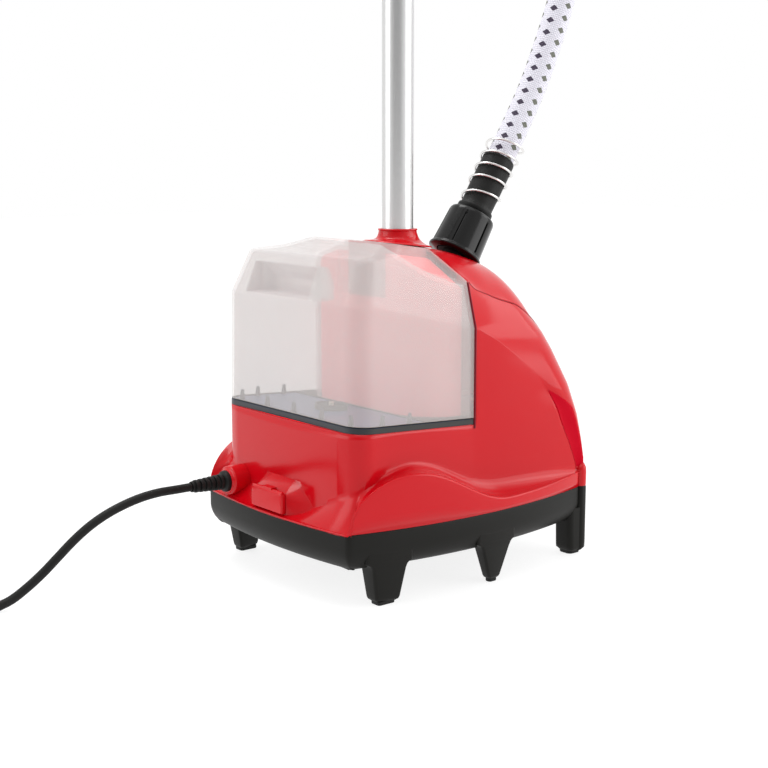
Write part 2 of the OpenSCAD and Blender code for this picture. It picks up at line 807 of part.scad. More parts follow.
module hose_nut() {
  color([0.06, 0.06, 0.06]) difference() {
    union() {
      along(outlet_foot, 6) cylinder(r = 24.4, h = 5);
      along(outlet_foot, 10.9) cylinder(r1 = 22.6, r2 = 21.2, h = 33);
      along(outlet_foot, 6) for (k = [0:15]) rotate([0, 0, 22.5 * k])
        translate([21, -1.6, 0]) cube([2.4, 3.2, 36]);
    }
    along(outlet_foot, 5) cylinder(r = 16.3, h = 31);
    along(outlet_foot, 5) cylinder(r = 15.6, h = 60);
  }
}

module hose_sleeve() {
  color([0.09, 0.09, 0.09]) difference() {
    union() {
      along(outlet_foot, 24.2) cylinder(r = 16, h = 10);
      along(outlet_foot, 30) cylinder(r = 15.3, h = 75.9);
      along(outlet_foot, 50) rotate_extrude() translate([15, 0]) circle(2);
    }
    along(outlet_foot, 20) cylinder(r = 11.5, h = 100);
  }
}

// Wire of the bend spring, a helix around the sleeve and the start of the hose
module hose_spring() {
  turns = 5;
  steps = 14;
  pitch = 13;
  color([0.75, 0.76, 0.78]) along(outlet_foot, 62) swept(
    [for (k = [0:turns * steps]) [17.2 * cos(360 * k / steps), 17.2 * sin(360 * k / steps),
                                  pitch * k / steps]], 1.1, 6, [0, 0, 1]);
}

module steam_hose() {
  color([0.85, 0.85, 0.9]) swept([for (p = HOSE) [p[0], 0, p[1]]], hose_d / 2, 12, [0, 1, 0]);
}

module head_sleeve() {
  color([0.08, 0.08, 0.08]) translate([head_x, 0, 1182]) difference() {
    union() {
      cylinder(r1 = 14.6, r2 = 15.6, h = 46);
      for (k = [0:3]) translate([0, 0, 4 + 10 * k]) cylinder(r = 15.8, h = 4);
    }
    translate([0, 0, -1]) cylinder(r = hose_d / 2 + 0.4, h = 60);
  }
}

module head_handle() {
  color([0.1, 0.1, 0.1]) translate([head_x, 0, 1228.1]) difference() {
    union() {
      cylinder(r = 15.8, h = 72);
      translate([0, 0, 60.2]) cylinder(r = 21, h = 12);
    }
    translate([0, 0, -1]) cylinder(r = hose_d / 2 + 0.4, h = 14);
    cylinder(r = 6, h = 100);
  }
}

module head_body() {
  color([0.74, 0.04, 0.06]) difference() {
    hull() {
      translate([head_x, 0, 1300.4]) cylinder(r = 20, h = 1, $fn = 32);
      translate([head_x + 26, -54, 1330]) cube([4, 108, 34]);
      translate([head_x - 12, -30, 1352]) rotate([0, 90, 0]) cylinder(r = 12, h = 6, $fn = 32);
      translate([head_x - 12, 30, 1352]) rotate([0, 90, 0]) cylinder(r = 12, h = 6, $fn = 32);
    }
    hull() {
      translate([head_x, 0, 1303]) cylinder(r = 16, h = 1, $fn = 32);
      translate([head_x + 25, -50, 1334]) cube([6, 100, 26]);
      translate([head_x - 8, -26, 1352]) rotate([0, 90, 0]) cylinder(r = 9, h = 6, $fn = 32);
      translate([head_x - 8, 26, 1352]) rotate([0, 90, 0]) cylinder(r = 9, h = 6, $fn = 32);
    }
    translate([head_x, 0, 1290]) cylinder(r = 6, h = 20);
  }
}

module head_face() {
  color([0.8, 0.8, 0.82]) translate([head_x + 30.1, 0, 1347]) difference() {
    translate([0, -56, -19]) cube([4, 112, 38]);
    for (y = [-42:12:42]) for (z = [-8, 8]) translate([-1, y, z]) rotate([0, 90, 0])
      cylinder(r = 2, h = 10);
  }
}

base_tray();
rubber_feet();
tray_screws();
body_shell();
spine_cover();
pole_socket();
pole_collar();
valve_well();
valve_pin();
tank_body();
tank_base_plate();
tank_gasket();
tank_cap();
valve_stem();
valve_seal();
valve_spring();
boiler_base();
boiler_lid();
boiler_gasket();
boiler_screws();
boiler_stand();
heating_element();
thermostat();
thermal_fuse();
feed_tube();
steam_tube();
steam_spigot();
terminal_block();
drain_pipe();
drain_plug();
drain_door();
door_pin();
cord_gland();
cord_clamp();
power_cord();
cord_tail();
cord_coil();
cord_tie();
plug_body();
plug_pins();
switch_bezel();
switch_rocker();
indicator_lens();
pole_lower();
pole_upper();
pole_clamp();
clamp_lever();
pole_top();
head_cradle();
arm_left();
arm_right();
arm_pins();
hose_nut();
hose_sleeve();
hose_spring();
steam_hose();
head_body();
head_face();
head_handle();
head_sleeve();
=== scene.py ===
"""Looks of the garment steamer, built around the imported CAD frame. Shapes are worked out in millimetres."""

import json
import math

import bmesh
import bpy
import numpy as np
from mathutils import Matrix, Vector


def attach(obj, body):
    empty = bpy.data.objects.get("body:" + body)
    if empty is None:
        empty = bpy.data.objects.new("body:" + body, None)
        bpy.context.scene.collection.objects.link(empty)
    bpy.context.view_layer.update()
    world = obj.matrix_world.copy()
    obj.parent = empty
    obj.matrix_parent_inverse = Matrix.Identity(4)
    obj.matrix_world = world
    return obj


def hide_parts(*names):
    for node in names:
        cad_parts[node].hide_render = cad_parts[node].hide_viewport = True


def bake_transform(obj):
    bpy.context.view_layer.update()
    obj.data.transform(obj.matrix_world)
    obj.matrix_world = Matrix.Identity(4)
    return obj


MM = 0.001
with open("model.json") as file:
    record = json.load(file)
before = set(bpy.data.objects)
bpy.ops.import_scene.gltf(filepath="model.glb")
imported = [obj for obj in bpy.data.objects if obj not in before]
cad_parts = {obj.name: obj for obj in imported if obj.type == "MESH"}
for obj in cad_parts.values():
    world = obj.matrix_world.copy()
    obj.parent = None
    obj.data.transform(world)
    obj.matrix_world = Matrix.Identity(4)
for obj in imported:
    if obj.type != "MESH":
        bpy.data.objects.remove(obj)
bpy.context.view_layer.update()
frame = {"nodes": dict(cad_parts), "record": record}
nodes = frame["nodes"]

# ---- Driving dimensions, as in the CAD source ----

BASE_HALF_L, BASE_HALF_W = 133.4, 104.2
BOW_LONG, BOW_SHORT = 18.4, 9.0
PARTING = 64.0
TANK_END, TANK_HALF, TANK_R = -120.0, 98.0, 18.0
SHELL_FRONT, ROOF_BREAK = 8.0, 219.5
SEAT_Z, SEAT_X, SEAT_TILT = 139.0, -54.0, math.radians(2.8)
POLE_X = 3.0
OUTLET_FOOT, OUTLET_TILT = Vector((68, 0, 270)), math.radians(33)


# ---- Materials ----


def nodes_of(name, base, rough, metallic=0.0):
    """A plain material with its node tree and its shader."""
    made = bpy.data.materials.new(name)
    made.use_nodes = True
    tree = made.node_tree
    shader = tree.nodes["Principled BSDF"]
    shader.inputs["Base Color"].default_value = (*base, 1)
    shader.inputs["Roughness"].default_value = rough
    shader.inputs["Metallic"].default_value = metallic
    return made, tree, shader


def noise(tree, scale, detail=3.0, stretch=(1, 1, 1)):
    """3-D noise in object space, with scale in features per metre."""
    where = tree.nodes.new("ShaderNodeTexCoord")
    mapping = tree.nodes.new("ShaderNodeMapping")
    mapping.inputs["Scale"].default_value = stretch
    made = tree.nodes.new("ShaderNodeTexNoise")
    made.inputs["Scale"].default_value = scale
    made.inputs["Detail"].default_value = detail
    tree.links.new(where.outputs["Object"], mapping.inputs["Vector"])
    tree.links.new(mapping.outputs["Vector"], made.inputs["Vector"])
    return made


def spread(tree, source, low, high):
    """Turns a 0 to 1 source into low to high."""
    made = tree.nodes.new("ShaderNodeMapRange")
    made.inputs["To Min"].default_value = low
    made.inputs["To Max"].default_value = high
    tree.links.new(source, made.inputs["Value"])
    return made.outputs["Result"]


def add_bump(tree, shader, source, depth):
    """Relief of a given depth in mm."""
    bump = tree.nodes.new("ShaderNodeBump")
    bump.inputs["Distance"].default_value = depth * MM
    bump.inputs["Strength"].default_value = 1.0
    tree.links.new(source, bump.inputs["Height"])
    tree.links.new(bump.outputs["Normal"], shader.inputs["Normal"])


def mixed(tree, factor, a, b):
    """Colour between a and b, which are colours or the outputs of other nodes."""
    made = tree.nodes.new("ShaderNodeMix")
    made.data_type = "RGBA"
    tree.links.new(factor, made.inputs["Factor"])
    for key, value in (("A", a), ("B", b)):
        if isinstance(value, bpy.types.NodeSocket):
            tree.links.new(value, made.inputs[key])
        else:
            made.inputs[key].default_value = (*value, 1)
    return made.outputs["Result"]


def glow(material, colour, strength):
    """Lets a material give off light of its own."""
    shader = material.node_tree.nodes["Principled BSDF"]
    shader.inputs["Emission Color"].default_value = (*colour, 1)
    shader.inputs["Emission Strength"].default_value = strength


def moulded(name, base, rough, grain_mm=0.0, grain_scale=1500, tone=0.12, shine=0.5):
    """Moulded plastic: uneven gloss, faint change of tone and an optional fine grain."""
    made, tree, shader = nodes_of(name, base, rough)
    shader.inputs["Specular IOR Level"].default_value = shine
    large = noise(tree, 14)
    fine = noise(tree, grain_scale, 2.0)
    deep = [c * (1 - tone) for c in base]
    pale = [min(1, c * (1 + tone)) for c in base]
    tree.links.new(mixed(tree, large.outputs["Fac"], deep, pale), shader.inputs["Base Color"])
    tree.links.new(spread(tree, fine.outputs["Fac"], rough * 0.85, rough * 1.15), shader.inputs["Roughness"])
    if grain_mm:
        add_bump(tree, shader, fine.outputs["Fac"], grain_mm)
    return made


def brushed(name, base, rough, stretch=(40, 40, 1), metallic=1.0):
    """Metal with fine lines drawn along one direction."""
    made, tree, shader = nodes_of(name, base, rough, metallic)
    lines = noise(tree, 160, 4.0, stretch)
    tree.links.new(spread(tree, lines.outputs["Fac"], rough * 0.75, rough * 1.3), shader.inputs["Roughness"])
    add_bump(tree, shader, lines.outputs["Fac"], 0.004)
    return made


def milky():
    """Clouded polypropylene that shows what is behind it. It glows faintly white: painted light that
    brightens the tank.
    """
    made, tree, shader = nodes_of("tank_clear", (0.63, 0.60, 0.585), 0.22)
    clouds = noise(tree, 9, 2.0)
    shader.inputs["Specular IOR Level"].default_value = 0.5
    # Faint white glow: painted light, so the tank looks lit through
    glow(made, (1.0, 0.97, 0.97), 0.05)
    tree.links.new(spread(tree, clouds.outputs["Fac"], 0.32, 0.38), shader.inputs["Alpha"])
    tree.links.new(spread(tree, clouds.outputs["Fac"], 0.18, 0.28), shader.inputs["Roughness"])
    return made


RED = moulded("red_gloss", (0.52, 0.001, 0.006), 0.16, tone=0.04, shine=0.28)
RED_PART = moulded("red_part", (0.55, 0.002, 0.007), 0.22, tone=0.04, shine=0.3)
# Satin red for the scoop: its dull finish is real, its darker, bluer colour is painted shade
RED_SATIN_SHADED = moulded("red_satin_painted_shade", (0.48, 0.0, 0.012), 0.5, tone=0.02, shine=0.04)
SHADOW = moulded("red_shadow", (0.16, 0.0, 0.008), 0.4, tone=0.02, shine=0.2)
# Bay walls: a brighter copy of the shell's red that glows red, painted light for the light that passes in
# through the milky tank
RED_BAY_GLOWING = moulded("red_bay_painted_glow", (0.85, 0.02, 0.03), 0.35, tone=0.04, shine=0.3)
glow(RED_BAY_GLOWING, (1.0, 0.03, 0.05), 0.45)
CHARCOAL = moulded("black_matte", (0.0075, 0.0072, 0.006), 0.45, 0.03, 2600, shine=0.16)
BLACK = moulded("black_gloss", (0.003, 0.003, 0.003), 0.16, 0.0, shine=0.3)
RUBBER = moulded("rubber_black", (0.008, 0.008, 0.0075), 0.5, 0.02, 3000, shine=0.2)


def plate_finish():
    """Black at the rim, which faces outwards, and blue-black where it faces up."""
    made, tree, shader = nodes_of("plate_black", (0.012, 0.012, 0.012), 0.35)
    where = tree.nodes.new("ShaderNodeNewGeometry")
    split = tree.nodes.new("ShaderNodeSeparateXYZ")
    tree.links.new(where.outputs["True Normal"], split.inputs["Vector"])
    shade = mixed(tree, split.outputs["Z"], (0.010, 0.010, 0.010), (0.005, 0.055, 0.19))
    tree.links.new(shade, shader.inputs["Base Color"])
    return made


PLATE = plate_finish()
ALUMINIUM = brushed("aluminium", (0.64, 0.64, 0.64), 0.24, (12, 12, 1), metallic=0.8)
STEEL = brushed("steel", (0.72, 0.71, 0.70), 0.2, (1, 1, 1))
CAST = moulded("cast_aluminium", (0.5, 0.5, 0.51), 0.42, 0.08, 700)
CAST.node_tree.nodes["Principled BSDF"].inputs["Metallic"].default_value = 0.9
SILICONE = moulded("silicone", (0.7, 0.68, 0.62), 0.4)
SEAL = moulded("seal_red", (0.45, 0.05, 0.03), 0.5)
IVORY = moulded("ivory", (0.72, 0.68, 0.55), 0.4)
LAMP = moulded("lamp", (0.75, 0.22, 0.03), 0.15)
CLEAR = milky()


# ---- Meshes ----


def piece(name, points, faces, material, body="root", slot=None, sharp=38):
    """A mesh object from millimetre points, riding on a body."""
    mesh = bpy.data.meshes.new(name)
    mesh.from_pydata([tuple(float(c) * MM for c in p) for p in points], [], [tuple(f) for f in faces])
    return finished(name, mesh, material, body, sharp)


def finished(name, mesh, material, body, sharp):
    """Cleans a mesh, gives it its finish and puts it on its body."""
    work = bmesh.new()
    work.from_mesh(mesh)
    bmesh.ops.remove_doubles(work, verts=work.verts, dist=0.01 * MM)
    bmesh.ops.dissolve_degenerate(work, edges=work.edges, dist=0.001 * MM)
    bmesh.ops.recalc_face_normals(work, faces=work.faces)
    work.to_mesh(mesh)
    work.free()
    mesh.shade_smooth()
    mesh.set_sharp_from_angle(angle=math.radians(sharp))
    mesh.materials.append(material)
    made = bpy.data.objects.new(name, mesh)
    bpy.context.scene.collection.objects.link(made)
    if body:
        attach(made, body)
    return made


def grid(rows, columns, around=False, offset=0):
    """Quads between rows of points."""
    last = columns if around else columns - 1
    return [
        (offset + r * columns + c, offset + r * columns + (c + 1) % columns,
         offset + (r + 1) * columns + (c + 1) % columns, offset + (r + 1) * columns + c)
        for r in range(rows - 1) for c in range(last)
    ]


def loft(name, rings, material, caps=True, **more):
    """Skin over rings of equal length. caps closes both ends."""
    rings = [list(map(tuple, r)) for r in rings]
    n = len(rings[0])
    points = [p for r in rings for p in r]
    faces = grid(len(rings), n, around=True)
    if caps:
        faces += [tuple(range(n - 1, -1, -1)), tuple(range((len(rings) - 1) * n, len(rings) * n))]
    return piece(name, points, faces, material, **more)


def strips(columns, rows, offset=0):
    """Quads between columns of points."""
    return [
        (offset + i * rows + j, offset + (i + 1) * rows + j,
         offset + (i + 1) * rows + j + 1, offset + i * rows + j + 1)
        for i in range(columns - 1) for j in range(rows - 1)
    ]


def thickened(made, thickness):
    """Gives a skin a wall, inwards."""
    solid = made.modifiers.new("wall", "SOLIDIFY")
    solid.thickness = thickness * MM
    solid.offset = -1.0


def softened(made, width):
    """Rounds a piece's sharp edges."""
    bevel = made.modifiers.new("edges", "BEVEL")
    bevel.width = width * MM
    bevel.segments = 3
    bevel.limit_method = "ANGLE"
    bevel.angle_limit = math.radians(35)


def frame_at(origin, axis):
    """Matrix that puts local Z along axis at origin."""
    turn = Vector(axis).normalized().to_track_quat("Z", "Y").to_matrix().to_4x4()
    return Matrix.Translation(Vector(origin)) @ turn


def lathe(name, profile, place, material, steps=64, closed=True, radius_at=None, **more):
    """Turns a profile of (radius, height). radius_at(radius, height, angle) may change the radius."""
    rings = []
    for r, h in profile:
        ring = []
        for k in range(steps):
            a = 2 * math.pi * k / steps
            q = radius_at(r, h, a) if radius_at else r
            ring.append(place @ Vector((q * math.cos(a), q * math.sin(a), h)))
        rings.append(ring)
    if closed:
        rings.append(rings[0])
    return loft(name, rings, material, caps=not closed, **more)


def arc(cx, cy, r, start, end, steps):
    """Points of an arc in a plane, angles in degrees."""
    return [(cx + r * math.cos(math.radians(a)), cy + r * math.sin(math.radians(a)))
            for a in np.linspace(start, end, steps)]


def smooth(x, low, high):
    """Soft step from 0 at low to 1 at high."""
    t = np.clip((x - low) / (high - low), 0, 1)
    return t * t * (3 - 2 * t)


def tube(name, path, radius, material, sides=12, with_uv=False, **more):
    """Round tube along points in mm. Its optional UVs run around, and along in metres."""
    path = [Vector(p) for p in path]
    rings, side = [], None
    for i, p in enumerate(path):
        d = (path[min(i + 1, len(path) - 1)] - path[max(i - 1, 0)]).normalized()
        if side is None:
            side = d.cross(Vector((0.1, 1, 0.05))).normalized()
        side = (side - d * side.dot(d)).normalized()
        up = d.cross(side)
        rings.append([p + radius * (math.cos(2 * math.pi * k / sides) * side
                                    + math.sin(2 * math.pi * k / sides) * up) for k in range(sides)])
    made = loft(name, rings, material, sharp=60, **more)
    if with_uv:
        add_tube_uv(made, path, sides)
    return made


def add_tube_uv(made, path, sides):
    """UVs by vertex order: u around in turns, v along in metres."""
    along = [0.0]
    for a, b in zip(path, path[1:]):
        along.append(along[-1] + (b - a).length * MM)
    layer = made.data.uv_layers.new(name="wrap")
    for face in made.data.polygons:
        ks = [made.data.loops[i].vertex_index for i in face.loop_indices]
        wraps = {k % sides for k in ks}
        for i, k in zip(face.loop_indices, ks):
            u = (k % sides) / sides
            if 0 in wraps and sides - 1 in wraps and k % sides == 0:
                u = 1.0
            layer.data[i].uv = (u, along[min(k // sides, len(along) - 1)])


def spline(points, count):
    """Even points along a smooth curve through given points, and the curve's length."""
    p = np.array(points, float)
    p = np.vstack([2 * p[0] - p[1], p, 2 * p[-1] - p[-2]])
    fine = []
    for i in range(1, len(p) - 2):
        for t in np.linspace(0, 1, 24, endpoint=False):
            a, b, c, d = p[i - 1], p[i], p[i + 1], p[i + 2]
            fine.append(0.5 * (2 * b + (c - a) * t + (2 * a - 5 * b + 4 * c - d) * t * t
                               + (3 * b - a - 3 * c + d) * t ** 3))
    fine.append(p[-2])
    fine = np.array(fine)
    s = np.r_[0, np.cumsum(np.linalg.norm(np.diff(fine, axis=0), axis=1))]
    at = np.linspace(0, s[-1], count)
    return np.column_stack([np.interp(at, s, fine[:, k]) for k in range(p.shape[1])]), s[-1]


# ---- Camera ----


def make_camera():
    data = bpy.data.cameras.new("camera")
    data.lens = 65.625
    data.sensor_width = 36
    data.clip_start, data.clip_end = 0.05, 50
    made = bpy.data.objects.new("camera", data)
    made.location = (-0.7891, -0.9650, 0.3698)
    made.rotation_euler = (math.pi / 2 - 0.1674, 0, -0.6776)
    bpy.context.scene.collection.objects.link(made)
    bpy.context.scene.camera = made


make_camera()

# ---- Mains lead and its plug ----

LEAD_D = 7.6
LEAD = [[-176, 66, 78], [-190, 66, 78], [-208, 66, 78], [-226, 66, 76], [-243, 66, 72],
        [-259, 67, 66], [-274, 68, 58], [-288, 69, 48], [-301, 70, 37], [-314, 71, 26],
        [-328, 72, 16], [-342, 73, 8], [-356, 74, 4]]
TAIL = [[-440, 144, 11], [-440, 152, 13], [-440, 161, 16.5], [-440, 170, 18.4], [-440, 177.7, 18.4]]
COIL = (-390, 125)
COIL_LAYERS = (3.9, 10.5)
COIL_RADII = (49.6, 42.0, 34.4)


def coil_points():
    """About three turns outside in on the floor, then three turns inside out on top of them."""
    points = []
    start = math.atan2(75 - COIL[1], -372 - COIL[0])
    turns = 6.25
    count = int(turns * 40)
    outer, middle, inner = COIL_RADII
    for k in range(1, count + 1):
        q = turns * k / count
        a = start - 2 * math.pi * q
        layer = smooth(q, 2.85, 3.15)
        depth = q if q < 3 else 6 - q
        r = np.interp(depth, [0, 0.35, 0.65, 1.35, 1.65, 3.2], [outer, outer, middle, middle, inner, inner])
        z = COIL_LAYERS[0] + (COIL_LAYERS[1] - COIL_LAYERS[0]) * layer
        points.append([COIL[0] + r * math.cos(a), COIL[1] + r * math.sin(a), z])
    return points


def make_lead():
    first, _ = spline(LEAD, 60)
    whole = [list(p) for p in first] + coil_points() + TAIL
    path, length = spline(whole, 460)
    path[:, 2] = np.maximum(path[:, 2], LEAD_D / 2)
    lead = tube("mains_lead", path, LEAD_D / 2, RUBBER, sides=12, slot="rubber_black")
    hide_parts("power_cord", "cord_tail", "cord_coil")
    return lead, path, length


lead, lead_path, lead_length = make_lead()


def make_tie():
    """Releasable strap around the coil's right side."""
    x, y = COIL[0] + 42, COIL[1]
    rings = []
    for w, out in ((-4, 0.0), (-3.4, 0.5), (0, 0.6), (3.4, 0.5), (4, 0.0)):
        ring = []
        for a in np.linspace(0, 2 * math.pi, 40, endpoint=False):
            sx = math.copysign(abs(math.cos(a)) ** 0.35, math.cos(a))
            sz = math.copysign(abs(math.sin(a)) ** 0.35, math.sin(a))
            corner = 1 - 0.14 * (abs(sz) > 0.7 and abs(sx) > 0.7)
            ring.append((x + (12.6 + out) * sx * corner, y + w, max(0.05, 7.4 + (7.3 + out) * sz)))
        rings.append(ring)
    tie = loft("lead_tie", rings, RUBBER, caps=False, slot="rubber_black")
    thickened(tie, 0.7)
    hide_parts("cord_tie")
    return tie


def make_plug():
    """Moulded round plug with finger grooves and a ribbed neck."""
    place = frame_at((-440, 178, 18.4), (0, 1, 0))

    def grooved(r, h, a):
        side = abs(math.cos(a)) ** 6
        return r - (2.4 * side * math.exp(-((h - 39) / 5.5) ** 2) if 30 < h < 45.5 else 0)

    profile = [(0.01, 0.2), (5.2, 0.2), (5.9, 0.9)]
    for k in range(4):
        z = 2.5 + 4.2 * k
        high, low = 6.2 + 0.5 * k, 5.2 + 0.5 * k
        profile += [(high, z), (high, z + 2.2), (low, z + 2.6), (low, z + 3.8)]
    profile += [(8.2, 20), (9.6, 22), (12.5, 26), (16, 31), (17.8, 33.5), (18.3, 35.5), (18.3, 37.5),
                (18.3, 39), (18.3, 40.5), (18.3, 42.5), (18.2, 44.6), (17.4, 45.6), (16.4, 45.9),
                (0.01, 45.9)]
    plug = lathe("mains_plug", profile, place, BLACK, 72, closed=False, radius_at=grooved,
                 slot="rubber_black")
    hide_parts("plug_body")
    rim = lathe("plug_rim", [(13.2, 45.6), (14.2, 46.2), (15.2, 45.6), (14.2, 45.2)], place, RUBBER, 56,
                slot="rubber_black")
    bare = [(0.01, 45.7), (2.35, 45.7), (2.35, 63.4), (2.1, 64.3), (1.4, 64.9), (0.01, 65)]
    covered = [(0.01, 45.8), (2.45, 45.8), (2.5, 46.2), (2.5, 54.5), (2.3, 54.8), (0.01, 54.8)]
    pins = []
    for s in (-1, 1):
        side = "lr"[s > 0]
        spot = place @ Matrix.Translation((9.5 * s, 0, 0))
        pins.append(lathe("plug_pin" + side, bare, spot, STEEL, 32, closed=False, slot="steel"))
        pins.append(lathe("pin_sleeve" + side, covered, spot, RUBBER, 32, closed=False, slot="rubber_black"))
    for pin in pins[::2]:
        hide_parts("plug_pins")
    return [plug, rim] + pins


def make_gland():
    """Strain relief: rings joined by bridges turned a quarter from one to the next."""
    place = frame_at((-139.4, 66, 78), (-1, 0, 0))
    profile = [(4.1, -6), (7.4, -6), (7.6, -1), (9.4, -0.6), (9.6, 1.2), (9.2, 2.8), (7.4, 3.6)]
    z, r = 5.0, 7.0
    for k in range(6):
        profile += [(r - 1.9, z), (r, z + 0.3), (r + 0.1, z + 2.2), (r - 0.1, z + 3.1), (r - 1.9, z + 3.4)]
        z += 4.9
        r -= 0.28
    profile += [(4.9, z + 0.2), (4.7, z + 1.4), (4.2, z + 1.6), (4.05, z), (4.05, 8)]

    def bridged(radius, h, a):
        k = int((h - 4) // 4.9)
        bridge = abs(math.cos(a + (k % 2) * math.pi / 2)) > 0.93
        return max(radius, 5.9 - 0.05 * h) if bridge and 4.5 < h < 33 and radius > 4.4 else radius

    gland = lathe("lead_gland", profile, place, RUBBER, 72, radius_at=bridged, slot="rubber_black", sharp=30)
    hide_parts("cord_gland")
    return gland


lead_pieces = [make_tie(), make_gland()] + make_plug()

# ---- Steam hose ----

HOSE = [[126, 359], [148, 393], [169, 429], [187, 467], [203, 506], [216, 546], [226, 587],
        [232, 629], [235, 672], [235, 715], [232, 758], [226, 801], [217, 843], [205, 884],
        [191, 924], [175, 963], [157, 1002], [139, 1040], [121, 1076], [105, 1110], [93, 1144],
        [88, 1178], [88, 1240]]
HOSE_R = 13.0


def braid():
    """Pale braid with dark checks set in rows that wind around the hose."""
    made, tree, shader = nodes_of("hose_fabric", (0.72, 0.71, 0.78), 0.62)
    where = tree.nodes.new("ShaderNodeUVMap")
    where.uv_map = "wrap"
    split = tree.nodes.new("ShaderNodeSeparateXYZ")
    tree.links.new(where.outputs["UV"], split.inputs["Vector"])

    def maths(kind, a, b=None):
        node = tree.nodes.new("ShaderNodeMath")
        node.operation = kind
        for i, v in enumerate((a, b)):
            if v is None:
                continue
            if isinstance(v, (int, float)):
                node.inputs[i].default_value = v
            else:
                tree.links.new(v, node.inputs[i])
        return node.outputs["Value"]

    around, along = split.outputs["X"], split.outputs["Y"]
    turns = maths("MULTIPLY", around, 6.0)
    steps = maths("MULTIPLY", along, 1000.0 / 12.4)
    column = maths("FLOOR", turns)
    inside = maths("ABSOLUTE", maths("SUBTRACT", maths("FRACT", turns), 0.5))
    shifted = maths("ADD", steps, maths("MULTIPLY", column, 0.5))
    up = maths("ABSOLUTE", maths("SUBTRACT", maths("FRACT", shifted), 0.5))
    wide = maths("MULTIPLY", inside, 2.0)
    tall = maths("MULTIPLY", up, 2.4)
    diamond = maths("ADD", wide, tall)
    check = maths("LESS_THAN", diamond, 0.62)
    # Alternate columns carry purple-black and grey-olive checks
    parity = maths("GREATER_THAN", maths("MODULO", column, 2.0), 0.5)
    ends = maths("MULTIPLY", around, 2 * math.pi * 24)
    picks = maths("MULTIPLY", along, 1000 * 1.55)
    rising = maths("SINE", maths("ADD", ends, picks))
    falling = maths("SINE", maths("SUBTRACT", ends, picks))
    weave = maths("MULTIPLY", rising, falling)
    height = maths("ADD", maths("MULTIPLY", weave, 0.5), 0.5)
    dark = mixed(tree, parity, (0.030, 0.018, 0.045), (0.12, 0.125, 0.10))
    pale = mixed(tree, height, (0.50, 0.49, 0.58), (0.80, 0.79, 0.84))
    tree.links.new(mixed(tree, check, pale, dark), shader.inputs["Base Color"])
    add_bump(tree, shader, height, 0.25)
    return made


BRAID = braid()


def make_hose():
    path, length = spline([[x, 0, z] for x, z in HOSE], 300)
    hose = tube("hose", path, HOSE_R, BRAID, sides=40, with_uv=True, body=None, slot="hose_fabric")
    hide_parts("steam_hose")
    return hose, path, length


hose, hose_path, hose_length = make_hose()

# ---- Outlet: nut, sleeve and bend spring ----

outlet = frame_at(OUTLET_FOOT, (math.sin(OUTLET_TILT), 0, math.cos(OUTLET_TILT)))


def make_nut():
    """Nut with six grooves in its tapered grip."""
    def ribbed(r, h, a):
        if h < 7.5 or h > 40.5 or r < 20:
            return r
        turn = (a * 6 / (2 * math.pi) + 0.9) % 1.0
        near = abs(turn - 0.5) * 2
        groove = smooth(near, 0.90, 0.94)
        ends = smooth(h, 7.5, 8.5) * (1 - smooth(h, 38.0, 40.5))
        return r - 1.6 * groove * ends

    heights = np.linspace(7.6, 41.4, 30)
    profile = [(17.2, 3.2), (24.6, 3.2), (25.3, 3.7), (25.5, 4.6), (25.3, 5.6), (24.6, 6.3), (23.9, 6.7),
               (23.7, 7.2)]
    profile += [(23.7 - 1.6 * (h - 7.2) / 34.2, h) for h in heights]
    profile += [(21.9, 43.0), (21.2, 44.4), (20.0, 45.3), (18.6, 45.6), (17.0, 45.6), (16.2, 44.6),
                (16.2, 20)]
    nut = lathe("hose_nut_grip", profile, outlet, BLACK, 480, radius_at=ribbed, body="hose_nut",
                slot="black_gloss", sharp=50)
    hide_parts("hose_nut")
    return nut


def make_sleeve():
    """Rubber sleeve with a bead above the nut."""
    profile = [(13.3, 24.5), (15.2, 24.5), (15.2, 44.6), (15.6, 45.2), (15.9, 46.8), (16.9, 48.0),
               (17.1, 49.6), (16.9, 51.4), (15.7, 52.4), (15.2, 53.8), (15.1, 56), (15.3, 70), (15.35, 90),
               (15.3, 103.6),
               (15.0, 105.0), (14.3, 105.8), (13.35, 105.8), (13.3, 104)]
    sleeve = lathe("hose_cuff", profile, outlet, RUBBER, 64, slot="rubber_black", sharp=45)
    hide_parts("hose_sleeve")
    return sleeve


def make_spring():
    """Wire spring that keeps the hose from kinking, its last turn drawn in."""
    points = []
    turns = 5.0
    for k in range(int(turns * 36) + 1):
        q = k / 36
        s = 62 + 13.0 * q - 4.5 * smooth(1 - q, 0, 1)
        a = 2 * math.pi * q
        points.append(outlet @ Vector((17.3 * math.cos(a), 17.3 * math.sin(a), s)))
    spring = tube("bend_spring", points, 1.1, STEEL, sides=10, slot="steel")
    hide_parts("hose_spring")
    return spring


nut, cuff, spring = make_nut(), make_sleeve(), make_spring()

# ---- Valve spring, which the opening valve presses together ----

WELL_X = -72.0


def make_valve_coil():
    """Spring between the tank's floor and the valve, on the seat's tilted axes."""
    seat = (Matrix.Translation((SEAT_X, 0, SEAT_Z)) @ Matrix.Rotation(SEAT_TILT, 4, "Y")
            @ Matrix.Translation((WELL_X - SEAT_X, 0, 0)))
    low, high, turns = -3.3, 7.0, 5
    points = []
    for k in range(turns * 28 + 1):
        t = k / (turns * 28)
        a = 2 * math.pi * turns * t
        points.append(seat @ Vector((4.2 * math.cos(a), 4.2 * math.sin(a), low + (high - low) * t)))
    coil = tube("valve_coil", points, 0.5, STEEL, sides=8, body=None, slot="steel")
    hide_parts("valve_spring")
    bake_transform(coil)


make_valve_coil()

# ---- Base outline ----


def side_arc(half_chord, bow, other, t):
    """Height over a bowed side at distance t from its middle."""
    radius = (half_chord ** 2 + bow ** 2) / (2 * bow)
    return other + bow - (radius - math.sqrt(radius ** 2 - t ** 2))


